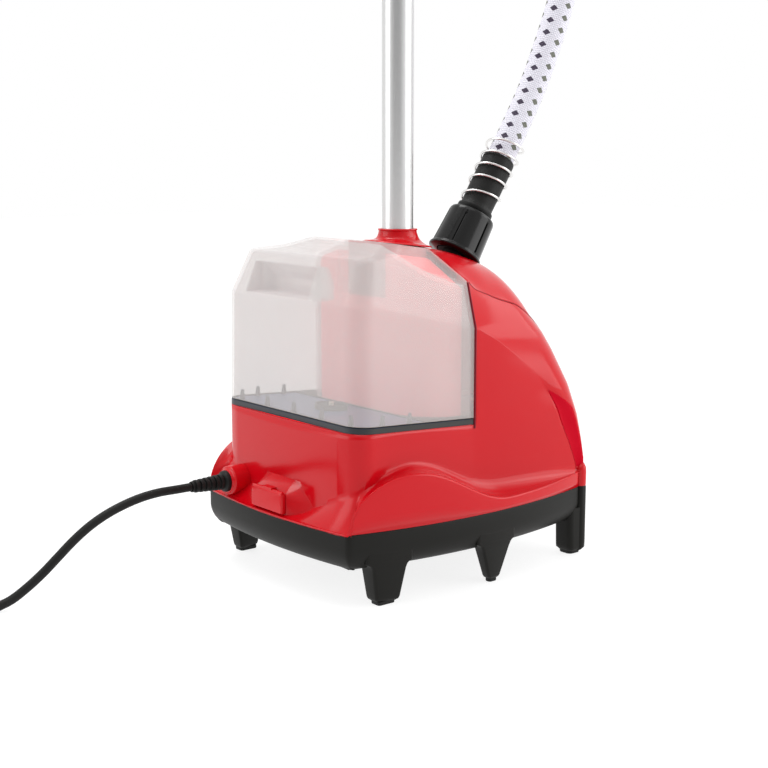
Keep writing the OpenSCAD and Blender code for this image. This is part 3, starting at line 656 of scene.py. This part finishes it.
def side_y(x):
    """Half-width of the base at a place along it."""
    return side_arc(BASE_HALF_L, BOW_LONG, BASE_HALF_W, x)


def end_x(y):
    """Half-length of the base at a distance from its middle."""
    return side_arc(BASE_HALF_W, BOW_SHORT, BASE_HALF_L, y)


def corner_points(sx, r, steps=6):
    """Rounded corner of the base on the near side, from the end to the long side."""
    corner = Vector((sx * BASE_HALF_L, -BASE_HALF_W))
    a = Vector((sx * end_x(BASE_HALF_W - r), -(BASE_HALF_W - r)))
    b = Vector((sx * (BASE_HALF_L - r), -side_y(BASE_HALF_L - r)))
    return [tuple((1 - t) ** 2 * a + 2 * t * (1 - t) * corner + t * t * b)
            for t in np.linspace(0, 1, steps).tolist()]


WAVE_X = -118  # the fender's wave leaves the corner here


def wave(x):
    """Height of the fender's edge along the long side."""
    if x < -75:
        return PARTING + 44 * math.sqrt(max(0.0, 1 - ((-75 - x) / 58.4) ** 2))
    if x < 30:
        return 74 + 34 * (0.5 + 0.5 * math.cos(math.pi * (x + 75) / 105))
    return 74 + 4 * ((x - 30) / 103) ** 2


def outline_stations():
    """(x, y) of the base outline on the near side, from the tank end's middle to the back's middle."""
    r = 4.0
    points = [(-end_x(y), -y) for y in np.linspace(0, BASE_HALF_W - r, 26)][:-1]
    points += corner_points(-1, r)
    xs = np.concatenate([np.linspace(-BASE_HALF_L + r, WAVE_X, 5)[1:],
                         np.linspace(WAVE_X, BASE_HALF_L - r, 84)[1:]])
    points += [(x, -side_y(x)) for x in xs][:-1]
    points += corner_points(1, r)[::-1]
    points += [(end_x(y), -y) for y in np.linspace(BASE_HALF_W - r, 0, 22)][1:]
    return points


def both_sides(half):
    """A closed ring from a half ring on the near side that starts and ends on the middle."""
    return [tuple(p) for p in half] + [(p[0], -p[1], *p[2:]) for p in half[-2:0:-1]]


def offset_half(points, d):
    """A half ring moved inwards by d."""
    out = []
    n = len(points)
    for i, p in enumerate(points):
        a = points[i - 1] if i else (points[1][0], -points[1][1])
        b = points[i + 1] if i < n - 1 else (points[-2][0], -points[-2][1])
        t = Vector((b[0] - a[0], b[1] - a[1])).normalized()
        out.append((p[0] - t.y * d, p[1] + t.x * d if 0 < i < n - 1 else 0.0))
    return out


# ---- Base tray and legs ----


def make_tray():
    """Tray with a rounded lower edge."""
    base = outline_stations()
    rows = [(0.9, 63.9), (0.25, 63.5), (0.0, 62.6), (0.0, 49.0), (0.5, 45.5), (1.6, 42.0), (3.4, 38.4),
            (5.8, 35.2), (8.2, 33.2), (10.8, 32.1), (13.5, 31.9)]
    rings = [both_sides([(x, y, z) for x, y in offset_half(base, d)]) for d, z in rows]
    tray = loft("tray", rings, CHARCOAL, slot="black_matte", sharp=50)
    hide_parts("base_tray")


def rounded_box_ring(x0, x1, y0, y1, r, z, steps=5):
    """Rectangle with rounded corners at one height."""
    ring = []
    for cx, cy, a in ((x1 - r, y1 - r, 0), (x0 + r, y1 - r, 90),
                      (x0 + r, y0 + r, 180), (x1 - r, y0 + r, 270)):
        ring += [(x, y, z) for x, y in arc(cx, cy, r, a, a + 90, steps)]
    return ring


def make_side_leg(name, sy, x0, x1, foot0, foot1, depth):
    """A leg under the long side, flush with the tray's side and flaring into it on its left and right."""
    rings = []
    for z in (46, 42, 39, 37, 35.6, 34.4, 33, 31, 28, 22, 12, 6, 4.2, 3.2, 3.0):
        t = np.clip((33 - z) / 30, 0, 1)
        flare = 5.5 - math.sqrt(max(0.0, 5.5 ** 2 - np.clip(z - 31, 0, 5.5) ** 2))
        foot = 1.6 * (1 - smooth(z, 3.0, 4.8))
        a, b = x0 + (foot0 - x0) * t - flare + foot, x1 + (foot1 - x1) * t + flare - foot
        outer = 0.35 + 3.4 * t + foot
        ring = []
        for x, d, _ in rounded_box_ring(a, b, outer, depth - foot, 2.4, 0, 6):
            ring.append((x, sy * (side_y(x) - d), z))
        rings.append(ring)
    return loft(name, rings, CHARCOAL, slot="black_matte", sharp=50)


def make_back_leg(name, sy):
    """Square leg with rounded corners under a rear corner."""
    rings = []
    for z in (44, 38, 33, 20, 8, 5, 3.6, 3.0):
        foot = 1.8 * (1 - smooth(z, 3.0, 5.4))
        t = np.clip((33 - z) / 30, 0, 1)
        ring = rounded_box_ring(121.5 + t + foot, 142.6 - t - foot, -105.0 + foot, -83.6 - foot, 5.0, z, 7)
        rings.append([(x, -sy * y, zz) for x, y, zz in ring])
    return loft(name, rings, CHARCOAL, slot="black_matte", sharp=50)


def make_pads():
    """Soft pads under the legs."""
    end_y, mid_y = side_y(-96), side_y(14)
    outlines = ((-104.6, -87.2, end_y - 16.6, end_y - 5.4, 2.0), (10.0, 19.0, mid_y - 11.6, mid_y - 5.4, 2.0),
                (124.8, 139.4, 87.0, 102.0, 4.0))
    for sy in (-1, 1):
        for k, (x0, x1, y0, y1, r) in enumerate(outlines):
            rings = []
            for d, z in ((0, 3.2), (0, 0.9), (0.25, 0.25), (0.9, 0.0)):
                ring = rounded_box_ring(x0 + d, x1 - d, y0 + d, y1 - d, r, z)
                rings.append([(x, sy * y, height) for x, y, height in ring])
            pad = loft("pad_" + "ab"[sy > 0] + str(k), rings, RUBBER, slot="rubber_black")
            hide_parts("rubber_feet")


POST_X, POST_Y = 137.6, 100.8
TRAY_POST = [(3.9, 3.6, 1, 1), (5.4, 5.5, 0, 1), (5.6, 10, 0, 0), (5.6, 62.9, 0, 0), (5.1, 63.7, 0, 0)]
SHELL_POST = [(5.2, 63.9, 0, 0), (5.6, 64.6, 0, 0), (5.6, 76, 0, 0.5), (5.4, 80, 0.2, 1.5),
              (4.6, 82.5, 1.2, 2.2), (1.5, 83.6, 2.5, 1.5)]


def make_post(name, sy, rows, material, slot):
    """Round post at a rear corner, from rows of radius, height, lean and slope."""
    rings = []
    for r, z, lean, slope in rows:
        ring = []
        for a in np.linspace(0, 2 * math.pi, 40, endpoint=False):
            rise = slope * (math.cos(a) - 0.2 * math.sin(a))
            ring.append((POST_X + r * math.cos(a) - lean, sy * (POST_Y + r * math.sin(a)), z + rise))
        rings.append(ring)
    return loft(name, rings, material, slot=slot, sharp=50)


make_tray()
make_pads()
legs = []
for sy in (-1, 1):
    side = "ab"[sy > 0]
    legs.append(make_side_leg("leg_end_" + side, sy, -111.5, -80.5, -106.5, -85.2, 18))
    legs.append(make_side_leg("leg_side_" + side, sy, -2.5, 30.8, 8.3, 20.6, 13))
    legs.append(make_back_leg("leg_back_" + side, sy))
    legs.append(make_post("tray_post_" + side, sy, TRAY_POST, CHARCOAL, "black_matte"))
for leg in legs:
    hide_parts("base_tray")

# ---- Red shell ----

# Levels of the hump: height, then centre and radius of its corner circle
HUMP = [(64, 137, 97.5, 5.5), (90, 136.5, 97.8, 5.5), (107, 133, 93, 9), (130, 123, 85.5, 17),
        (158, 104.5, 69.5, 32.5), (190, 87, 53, 41), (205, 78.5, 46, 43.5), (219, 68, 38, 46),
        (245, 50, 26, 47), (262, 38, 12, 44), (274, 26, 8, 32)]
# Height and distance along of the back's middle
BACK = [(64, 141.5), (107, 140.5), (158, 137), (190, 131), (219, 121), (245, 106), (262, 88), (274, 60)]
# The feature line of the side: distance along and height, from the tank's rear edge to the fender
CREASE = [(8, 219.5), (35, 206), (59, 190), (78, 176), (93.7, 157), (104.6, 138), (112.2, 119),
          (119.9, 103.5), (125.6, 90), (132, 75)]
# Height and half-width at that line
CREASE_Y = [(219.5, 98.0), (206, 98.2), (190, 98.3), (176, 98.8), (157, 100), (138, 102.3), (119, 103.5),
            (103.5, 104), (90, 104), (75, 103)]
# Width of the scoop past the crease, by height
SCOOP = [(74, 8), (76, 9), (90, 13), (103.5, 17), (119, 20), (138, 20), (147, 13), (153, 6), (157, 0.5),
         (160, 0.5)]
SCOOP_DEPTH = 2.2
# Distance along and half-width of the seam between side panel and spine cover
SEAM = [(12, 86), (30, 82), (106, 70), (150, 62)]


def at(table, x, k=1):
    """Column k of a table, interpolated at x."""
    table = sorted(table)
    return float(np.interp(x, [p[0] for p in table], [p[k] for p in table]))


def crease_x(z):
    """Place of the crease along the base at a height."""
    return float(np.interp(z, [p[1] for p in CREASE[::-1]], [p[0] for p in CREASE[::-1]]))


def front_y(z):
    """Half-width of the wall at the tank's rear edge."""
    if z < ROOF_BREAK:
        return TANK_HALF
    return TANK_HALF - 11 * (z - ROOF_BREAK) / 38.5


def tangent(px, py, cx, cy, r):
    """Angle on the circle of the tangent from a point to its left and on the outer side."""
    d = math.hypot(px - cx, py - cy)
    if d <= r * 1.0001:
        return math.atan2(py - cy, px - cx)
    toward = math.atan2(py - cy, px - cx)
    return toward + math.acos(r / d)


def ring_path(z, steps=60):
    """Section of the hump at one height on the near side, from the tank's rear edge to the back's middle."""
    cx, cy, r, xb = at(HUMP, z), -at(HUMP, z, 2), at(HUMP, z, 3), at(BACK, z)
    if z < ROOF_BREAK:
        xc, yc = crease_x(z), -at(CREASE_Y, z)
        front = []
        for t in np.linspace(0, 1, 16):
            bulge = 1.2 * math.sin(math.pi * t) * smooth(xc, 20, 90)
            front.append((SHELL_FRONT + (xc - SHELL_FRONT) * t, -TANK_HALF + (yc + TANK_HALF) * t - bulge))
    else:
        front = [(SHELL_FRONT + 0.9 * smooth(z, ROOF_BREAK, 240), -front_y(z))]
    start = tangent(*front[-1], cx, cy, r)
    path = list(front)
    for a in np.linspace(start, 0, steps):
        path.append((cx + r * math.cos(a), cy + r * math.sin(a)))
    # The back bulges from the end of the arc to the middle
    x0 = path[-1][0]
    for t in np.linspace(0, 1, 14)[1:]:
        path.append((x0 + (xb - x0) * math.sin(t * math.pi / 2), cy * (1 - t)))
    return np.array(path)


def along_path(path, t):
    """Points at shares t of a path's length."""
    s = np.r_[0, np.cumsum(np.linalg.norm(np.diff(path, axis=0), axis=1))]
    return np.column_stack([np.interp(np.array(t) * s[-1], s, path[:, k]) for k in (0, 1)])


def share_where(path, test):
    """First share of the path's length at which test(x, y) turns from negative to positive."""
    fine = np.linspace(0, 1, 500)
    p = along_path(path, fine)
    v = np.array([test(x, y) for x, y in p])
    if v[0] > 0:
        return 0.0
    i = np.argmax(v > 0) if (v > 0).any() else len(fine) - 1
    return float(fine[i])


SIDE_COLS = 30  # wall to the crease
STEP_COLS = 9  # the scoop past the crease
UPPER_COLS = 22  # past the scoop to the seam


def hump_row(z):
    """Points of the side panel at one height: wall, crease, scoop and upper part as far as the seam."""
    path = ring_path(z)
    seam = share_where(path, lambda x, y: at(SEAM, x) - abs(y) if x > 12 or abs(y) < 86 else -1)
    crease = share_where(path, lambda x, y: x - crease_x(z)) if z < ROOF_BREAK else 0.0
    seam = max(seam, crease + 1e-4)
    whole = np.linalg.norm(np.diff(path, axis=0), axis=1).sum()
    step = min(at(SCOOP, z) / whole, (seam - crease) * 0.6)
    shares = np.concatenate([np.linspace(0, crease, SIDE_COLS),
                             crease + step * np.linspace(0, 1, STEP_COLS + 1)[1:],
                             np.linspace(crease + step, seam, UPPER_COLS + 1)[1:]])
    p = along_path(path, shares)
    q = along_path(path, np.clip(shares + 0.002, 0, 1)) - along_path(path, np.clip(shares - 0.002, 0, 1))
    q /= np.maximum(np.linalg.norm(q, axis=1), 1e-9)[:, None]
    inwards = np.column_stack([-q[:, 1], q[:, 0]])
    depth = SCOOP_DEPTH * (1 - smooth(z, 118, 157))
    across = np.linspace(0, 1, STEP_COLS + 1)[1:]
    drop = np.zeros(len(shares))
    drop[SIDE_COLS:SIDE_COLS + STEP_COLS] = depth * np.sin(math.pi * across ** 0.45) ** 0.8
    p += inwards * drop[:, None]
    return [(x, y, z) for x, y in p]


def shell_columns():
    """Columns of the red shell in front of the hump, each a list of points from the parting line up."""
    columns = []
    stations = outline_stations()
    end = [p for p in stations if p[0] < 0 and p[1] > -88.01]
    for x, y in end:
        t = -y / 88
        wy = (TANK_R - TANK_HALF) * t
        wx = TANK_END - 3 * (1 - (t * 80 / 98) ** 2)
        columns.append(column((x, y), (wx, wy), PARTING, 64.5 + 23 * t ** 1.6, 0.45))
    corner = [p for p in stations if p[0] < 0 and p[1] <= -88.01 and p[0] < -117.9]
    length = [0.0]
    for a, b in zip(corner, corner[1:]):
        length.append(length[-1] + math.hypot(b[0] - a[0], b[1] - a[1]))
    for (x, y), s in zip(corner, length):
        t = s / length[-1]
        a = math.radians(180 + 90 * np.clip((t + 0.04) / 1.04, 0, 1))
        w = (TANK_END + TANK_R + TANK_R * math.cos(a), TANK_R - TANK_HALF + TANK_R * math.sin(a))
        ridge = wave(x) if y < -BASE_HALF_W + 0.2 else PARTING
        columns.append(column((x, y), w, ridge, max(87.5 + 12.5 * t, ridge + 6), 0.45 + 0.2 * t))
    return columns, stations


def column(b, w, ridge, foot, hollow=0.92):
    """Parting line, fender face, rolled ridge, hollow and wall for one station."""
    b, w = Vector(b), Vector(w)
    inwards = (w - b)
    reach = max(inwards.length, 1e-6)
    inwards = inwards / reach
    roll = min(1.6, reach * 0.4)
    high = max(0.0, ridge - PARTING)
    face = [PARTING, PARTING + 0.34 * high, PARTING + 0.68 * high, PARTING + max(0, high - roll)]
    points = [(b.x, b.y, z) for z in face]
    for a in (22, 45, 68, 90):
        q = math.radians(a)
        p = b + inwards * roll * (1 - math.cos(q))
        points.append((p.x, p.y, PARTING + max(0, high - roll) + min(roll, high) * math.sin(q)))
    start = b + inwards * roll
    z0 = points[-1][2]
    dip = 0.8 * min(1, high / 10)
    c = start + (w - start) * hollow
    knee = z0 - dip + (0.05 + (0.92 - hollow) * 0.75) * (foot - z0)
    for t in np.linspace(0, 1, 13)[1:].tolist():
        p = (1 - t) ** 2 * start + 2 * t * (1 - t) * c + t * t * w
        z = (1 - t) ** 2 * z0 + 2 * t * (1 - t) * knee + t * t * foot
        points.append((p.x, p.y, z))
    return points


def seat_height(x):
    """Height of the tank's seat at a place along the base."""
    return SEAT_Z - (x - SEAT_X) * math.tan(SEAT_TILT)


LEVELS = np.linspace(0, 1, 11)[1:]  # rows of the wall between its foot and the seat


def side_columns(stations):
    """Columns of the long side in front of the hump."""
    columns = []
    slide = (SHELL_FRONT - TANK_END - TANK_R) / (SHELL_FRONT - WAVE_X)
    for x, y in [p for p in stations if WAVE_X + 0.1 <= p[0] < 6 and p[1] < -BASE_HALF_W]:
        ridge = wave(x)
        wx = TANK_END + TANK_R + (x - WAVE_X) * slide
        foot = max(ridge + 5 + 6 * smooth(x, -70, 10), 100 - 30 * smooth(x, WAVE_X, -60))
        columns.append(column((x, y), (wx, -TANK_HALF), ridge, foot, 0.65 + 0.27 * smooth(x, WAVE_X, -90)))
    return columns


def hump_columns(stations):
    """Columns at the hump: the hollow runs from the outline to each column of the hump's rows."""
    outer = [p for p in stations if p[0] >= 6 and p[1] < -60]
    length = np.r_[0, np.cumsum([math.hypot(b[0] - a[0], b[1] - a[1]) for a, b in zip(outer, outer[1:])])]
    outer = np.array(outer)
    low = np.array(hump_row(90.0))
    low_s = np.r_[0, np.cumsum(np.linalg.norm(np.diff(low[:, :2], axis=0), axis=1))]
    top = seat_height(SHELL_FRONT)
    columns = []
    for k, share in enumerate(low_s / low_s[-1]):
        s = share * length[-1]
        b = (np.interp(s, length, outer[:, 0]), np.interp(s, length, outer[:, 1]))
        ridge = 78.0 if b[0] > BASE_HALF_L - 3.5 else wave(min(b[0], 133))
        foot = ridge + 12 - 6 * smooth(b[0], 90, 132)
        c = column(b, hump_row(foot)[k][:2], ridge, foot)
        c += [hump_row(foot + (top - foot) * t)[k] for t in LEVELS]
        columns.append(c)
    return columns


def sill_columns(stations):
    """Columns of the sill under the spine cover at the back."""
    back = both_sides_open([p for p in stations if p[0] > 100 and p[1] > -60.001])
    return [column((x, y), (ring_back(76.5, y), y), 75.5, 77.5)[:12] for x, y in back]


def make_shell():
    """Red shell: columns up to the seat, the upper side panels, their mirror image and the sill."""
    columns, stations = shell_columns()
    columns += side_columns(stations)
    for c in columns:
        x, y, foot = c[-1]
        top = seat_height(x)
        c += [(x, y, foot + (top - foot) * t) for t in LEVELS]
    columns += hump_columns(stations)
    points = [p for c in columns for p in c]
    faces = strips(len(columns), len(columns[0]))
    heights = np.concatenate([np.linspace(seat_height(SHELL_FRONT), 219.4, 26), np.linspace(221, 258, 14)])
    panel = [hump_row(z) for z in heights]
    faces += grid(len(panel), len(panel[0]), offset=len(points))
    points += [p for row in panel for p in row]
    faces += [tuple(i + len(points) for i in reversed(f)) for f in faces]
    points += [(x, -y, z) for x, y, z in points]
    sill = sill_columns(stations)
    faces += strips(len(sill), len(sill[0]), len(points))
    points += [p for c in sill for p in c]
    shell = piece("red_shell", points, faces, RED, slot="red_gloss", sharp=42)
    thickened(shell, 2.0)
    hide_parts("body_shell")


def both_sides_open(half):
    """An open line across the middle from its near half."""
    return [tuple(p) for p in half] + [(p[0], -p[1]) for p in half[-2::-1]]


def ring_back(z, y):
    """x of the hump's back at a height and distance from the middle."""
    path = ring_path(z)
    part = path[-40:]
    order = np.argsort(part[:, 1])
    return float(np.interp(-abs(y), part[order, 1], part[order, 0]))


def kept(name, node, test, material, slot):
    """Shows the faces of a CAD node for which test of the middle, in mm, holds."""
    source = nodes[node].data
    co = [v.co / MM for v in source.vertices]
    points, faces, index = [], [], {}
    for f in source.polygons:
        mid = sum((co[i] for i in f.vertices), Vector()) / len(f.vertices)
        if test(mid):
            face = []
            for i in f.vertices:
                if i not in index:
                    index[i] = len(points)
                    points.append(co[i])
                face.append(index[i])
            faces.append(face)
    piece(name, points, faces, material, slot=slot)


make_shell()
for sy in (-1, 1):
    fin = make_post("shell_post_" + "ab"[sy > 0], sy, SHELL_POST, RED, "red_gloss")
    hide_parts("body_shell")


def make_scoop(sy):
    """Satin lining of the scoop behind the crease, a darker and bluer red than the shell: painted shade for
    the dark band along the scoop.
    """
    rows = []
    for z in np.linspace(80, 157, 40):
        row = hump_row(z)[SIDE_COLS - 1:SIDE_COLS + STEP_COLS]
        rows.append([(x + 0.1, sy * (abs(y) + 0.3), z) for x, y, z in row])
    patch = piece("scoop_" + "ab"[sy > 0], [p for r in rows for p in r], grid(len(rows), STEP_COLS + 1),
                  RED_SATIN_SHADED, slot="red_gloss")
    thickened(patch, 0.2)
    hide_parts("body_shell")


def make_seams(sy):
    """Shadow lines: between side panel and spine cover, and between side panel and tank."""
    side = "ab"[sy > 0]
    seam = [hump_row(z)[-1] for z in np.linspace(257, 78, 70)]
    line = tube("seam_" + side, [(x, -sy * y, z) for x, y, z in seam], 0.28, SHADOW, sides=8,
                slot="red_gloss")
    edge = [(7.9, sy * (front_y(z) + 0.15), z) for z in np.linspace(seat_height(SHELL_FRONT) - 3, 257, 40)]
    rim = tube("bay_edge_" + side, edge, 1.0, SHADOW, sides=8, slot="red_gloss")
    for made in (line, rim):
        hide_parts("body_shell")


for sy in (-1, 1):
    make_scoop(sy)
    make_seams(sy)


def make_hood():
    """Drafted housing that joins the drain door's opening to the end wall."""
    rings = []
    for z, wide, front, half in ((64.2, 52, -136.9, 22.8), (70, 47, -136.9, 22.8), (76, 41, -136.9, 22.8),
                                 (81.4, 35, -136.7, 22.4), (82.6, 33, -135.9, 21.4), (92, 26, -123.6, 16)):
        wall = -122.6 + 0.9 * (wide / 52)
        ring = [(wall, -wide, z), (wall - 1.2, -wide + 3, z), (front + 0.5, -half - 0.6, z),
                (front, -half, z), (front, half, z), (front + 0.5, half + 0.6, z),
                (wall - 1.2, wide - 3, z), (wall, wide, z)]
        rings.append(ring)
    hood = loft("drain_hood", rings, RED, slot="red_gloss", sharp=50)
    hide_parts("body_shell")


def in_bay(mid):
    """True for the walls that the tank hides or shows through."""
    return mid.z > 131 and mid.x < 7.9 and abs(mid.x) < 118.5 and abs(mid.y) < 97.5


make_hood()
# The bay walls take the brighter, glowing red: painted light behind the tank
kept("tank_bay", "body_shell", in_bay, RED_BAY_GLOWING, "red_gloss")

# ---- Spine cover and collar ----

SPINE_TOP = [(8, 285), (25, 282.3), (54, 275.6), (83, 264.8), (109, 241), (123.0, 213)]


def make_spine():
    """Cover over the middle: an arched top that follows the seam, then the back down to the sill."""
    levels = 258 - 45 * np.linspace(0, 1, 34) ** 1.15
    widths = np.concatenate([np.linspace(-1, -0.86, 10), np.linspace(-0.86, 0.86, 35)[1:-1],
                             np.linspace(0.86, 1, 10)])
    cut = 0.86
    rows = []
    seam = [hump_row(z)[-1] for z in levels]
    walk = np.r_[0, np.cumsum([math.dist(a, b) for a, b in zip(seam, seam[1:])])]
    for (sx, sy, sz), s in zip(seam, walk):
        t = s / walk[-1]
        cx, cz = [spline_at([p[k] for p in SPINE_TOP], t) for k in range(2)]
        n = 2.5 - 0.3 * t
        early = 1 - smooth(s, 6, 42)
        row = []
        for w in widths:
            round_drop = (1 - (1 - (cut * abs(w)) ** n) ** (1 / n)) / (1 - (1 - cut ** n) ** (1 / n))
            flat_drop = 0.06 * abs(w) / 0.41 if abs(w) < 0.41 else 0.06 + 0.94 * (abs(w) - 0.41) / 0.59
            drop = early * flat_drop + (1 - early) * round_drop
            row.append((cx + (sx - cx) * drop, w * (abs(sy) - 0.35), cz + (sz - cz) * drop))
        rows.append(row)
    for z in np.linspace(213, 77.5, 46)[1:]:
        sx, sy, _ = hump_row(z)[-1]
        row = []
        for w in widths:
            y = w * (abs(sy) - 0.35)
            row.append((ring_back(z, y), y, z))
        rows.append(row)
    points = [p for r in rows for p in r]
    # The pole's tube passes here, under the collar
    solid = [f for f in grid(len(rows), len(widths))
             if min(math.hypot(points[i][0] - POLE_X, points[i][1]) for i in f) > 15.5]
    cover = piece("spine", points, solid, RED, slot="red_gloss", sharp=42)
    thickened(cover, 2.0)
    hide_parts("spine_cover")


def spline_at(values, t):
    """Smooth interpolation through evenly spaced values."""
    n = len(values)
    q = t * (n - 1)
    i = min(int(q), n - 2)
    f = q - i
    v = [2 * values[0] - values[1]] + list(values) + [2 * values[-1] - values[-2]]
    a, b, c, d = v[i], v[i + 1], v[i + 2], v[i + 3]
    return 0.5 * (2 * b + (c - a) * f + (2 * a - 5 * b + 4 * c - d) * f * f
                  + (3 * b - a - 3 * c + d) * f ** 3)


make_spine()
kept("saddle", "spine_cover", lambda mid: mid.x < 8.3, RED_PART, "red_gloss")


def make_collar():
    """Trumpet-shaped collar whose foot follows the roof."""
    rings = []
    fall = math.tan(math.radians(7))
    profile = [(31, -1.2, 1), (30.2, -0.2, 1)]
    profile += [(31 - 13.2 * math.sin(a), 8.4 - 8.2 * math.cos(a), 1 - smooth(a, 0.2, 1.45))
                for a in np.linspace(0.12, 1.45, 12)]
    profile += [(17.2, 9.6, 0), (17.0, 11.2, 0), (17.5, 11.6, 0), (17.7, 12.2, 0), (17.5, 12.8, 0),
                (16.8, 13.1, 0), (15.2, 13.2, 0), (14.3, 13.0, 0), (14.1, 12.4, 0), (14.1, 4, 0)]
    for r, h, b in profile:
        rings.append([(POLE_X + r * math.cos(a), r * math.sin(a), 286 + h - b * fall * r * math.cos(a))
                      for a in np.linspace(0, 2 * math.pi, 96, endpoint=False)])
    collar = loft("collar", rings, RED, caps=False, slot="red_gloss", sharp=50)
    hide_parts("pole_collar")


make_collar()

# ---- Drain door, cord boss ----


def make_door():
    """Small tab with rounded top corners, hinged at its top."""
    rings = []
    for x, grow in ((-137.6, 0.0), (-139.9, 0.0), (-140.8, -0.4), (-141.3, -1.1), (-141.5, -2.2)):
        ring = []
        for cy, cz, a in ((18.6, 80.2, 0), (-18.6, 80.2, 90), (-21.6, 66.6, 180), (21.6, 66.6, 270)):
            r = (4.2 if cz > 70 else 1.2) + grow
            for q in np.linspace(a, a + 90, 7):
                q = math.radians(q)
                ring.append((x, cy + max(r, 0.2) * math.cos(q), cz + max(r, 0.2) * math.sin(q)))
        rings.append(ring)
    door = loft("drain_tab", rings, RED_PART, body="drain_door", slot="red_gloss", sharp=40)
    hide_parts("drain_door")


def make_boss():
    """Round boss that holds the lead's strain relief."""
    place = frame_at((-119, 66, 78), (-1, 0, 0))
    profile = [(8.0, 1), (8.0, 19.6), (8.6, 20.1), (9.8, 20.2), (10.3, 19.8), (10.6, 18.8), (11.2, 18.5),
               (12.2, 18.4), (12.9, 17.8), (13.1, 16.8), (13.1, 1)]
    lathe("lead_boss", profile, place, RED_PART, 64, slot="red_gloss", sharp=50)


make_door()
make_boss()

# ---- CAD nodes that stay shown: their finish, and rounded edges ----

FINISH = {
    "black_matte": CHARCOAL, "rubber_black": RUBBER, "red_gloss": RED_PART, "tank_clear": CLEAR,
    "black_gloss": BLACK,
    "steel": STEEL, "cast_aluminium": CAST, "aluminium": ALUMINIUM, "silicone": SILICONE, "seal_red": SEAL,
    "ivory": IVORY, "lamp": LAMP, "hose_fabric": BRAID,
}
for entry in frame["record"]["subparts"]:
    node = nodes[entry["node"]]
    if node.hide_render:
        continue
    node.data.materials.clear()
    node.data.materials.append(FINISH[entry["material_slot"]])

nodes["tank_base_plate"].data.materials[0] = PLATE
nodes["door_pin"].data.materials[0] = RED_PART
EDGES = {
    "tank_body": 1.3, "pole_clamp": 1.0, "pole_top": 1.5, "head_cradle": 1.2, "arm_left": 1.4,
    "arm_right": 1.4,
    "head_body": 2.0, "head_face": 0.8, "head_handle": 1.0, "clamp_lever": 0.8, "switch_bezel": 0.8,
    "switch_rocker": 0.5, "rubber_feet": 0.8, "indicator_lens": 0.8,
}
for name, width in EDGES.items():
    if not nodes[name].hide_render:
        softened(nodes[name], width)

# ---- Cords ----

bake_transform(hose)

# ---- Floor, sky and lights ----


def make_floor():
    """White ground that glows, so that it stays white beside the shadow."""
    mesh = bpy.data.meshes.new("floor")
    mesh.from_pydata([(-6, -6, 0), (6, -6, 0), (6, 6, 0), (-6, 6, 0)], [], [(0, 1, 2, 3)])
    made, _, _ = nodes_of("floor", (0.22, 0.22, 0.22), 0.7)
    glow(made, (1, 1, 1), 0.82)
    mesh.materials.append(made)
    floor = bpy.data.objects.new("floor", mesh)
    bpy.context.scene.collection.objects.link(floor)


def area(name, where, aim, size, power):
    """Rectangular light aimed at a point."""
    data = bpy.data.lights.new(name, "AREA")
    data.shape = "RECTANGLE"
    data.size, data.size_y = size
    data.energy = power
    made = bpy.data.objects.new(name, data)
    made.location = where
    made.rotation_euler = (Vector(aim) - Vector(where)).to_track_quat("-Z", "Y").to_euler()
    bpy.context.scene.collection.objects.link(made)
    return made


def make_sky():
    """White all round, and darker towards the camera's side, where the studio is."""
    world = bpy.data.worlds.new("sky")
    world.use_nodes = True
    tree = world.node_tree
    background = tree.nodes["Background"]
    where = tree.nodes.new("ShaderNodeTexCoord")
    dot = tree.nodes.new("ShaderNodeVectorMath")
    dot.operation = "DOT_PRODUCT"
    dot.inputs[1].default_value = (-0.72, -0.69, 0.0)
    ramp = tree.nodes.new("ShaderNodeValToRGB")
    ramp.color_ramp.elements[0].position = 0.60
    ramp.color_ramp.elements[0].color = (1, 1, 1, 1)
    ramp.color_ramp.elements[1].position = 0.95
    ramp.color_ramp.elements[1].color = (0.30, 0.30, 0.30, 1)
    tree.links.new(where.outputs["Generated"], dot.inputs[0])
    tree.links.new(dot.outputs["Value"], ramp.inputs["Fac"])
    tree.links.new(ramp.outputs["Color"], background.inputs["Color"])
    background.inputs["Strength"].default_value = 1.0
    bpy.context.scene.world = world


make_floor()
make_sky()
area("side_box", (1.35, -1.55, 0.75), (0, 0, 0.15), (1.5, 1.3), 13)
high_box = area("high_box", (1.72, -0.86, 1.32), (0.05, -0.05, 0.2), (1.7, 1.1), 9)
high_box.data.use_shadow = False
area("end_box", (-1.75, 0.95, 0.75), (0, 0, 0.15), (1.2, 1.3), 9)
area("top_box", (-0.2, -0.4, 2.4), (0, 0, 0.2), (1.6, 1.6), 8)
area("ledge_box", (-0.2, 0.62, 2.0), (-0.12, 0, 0.1), (1.1, 0.8), 13)
bpy.context.scene.view_settings.view_transform = "Standard"
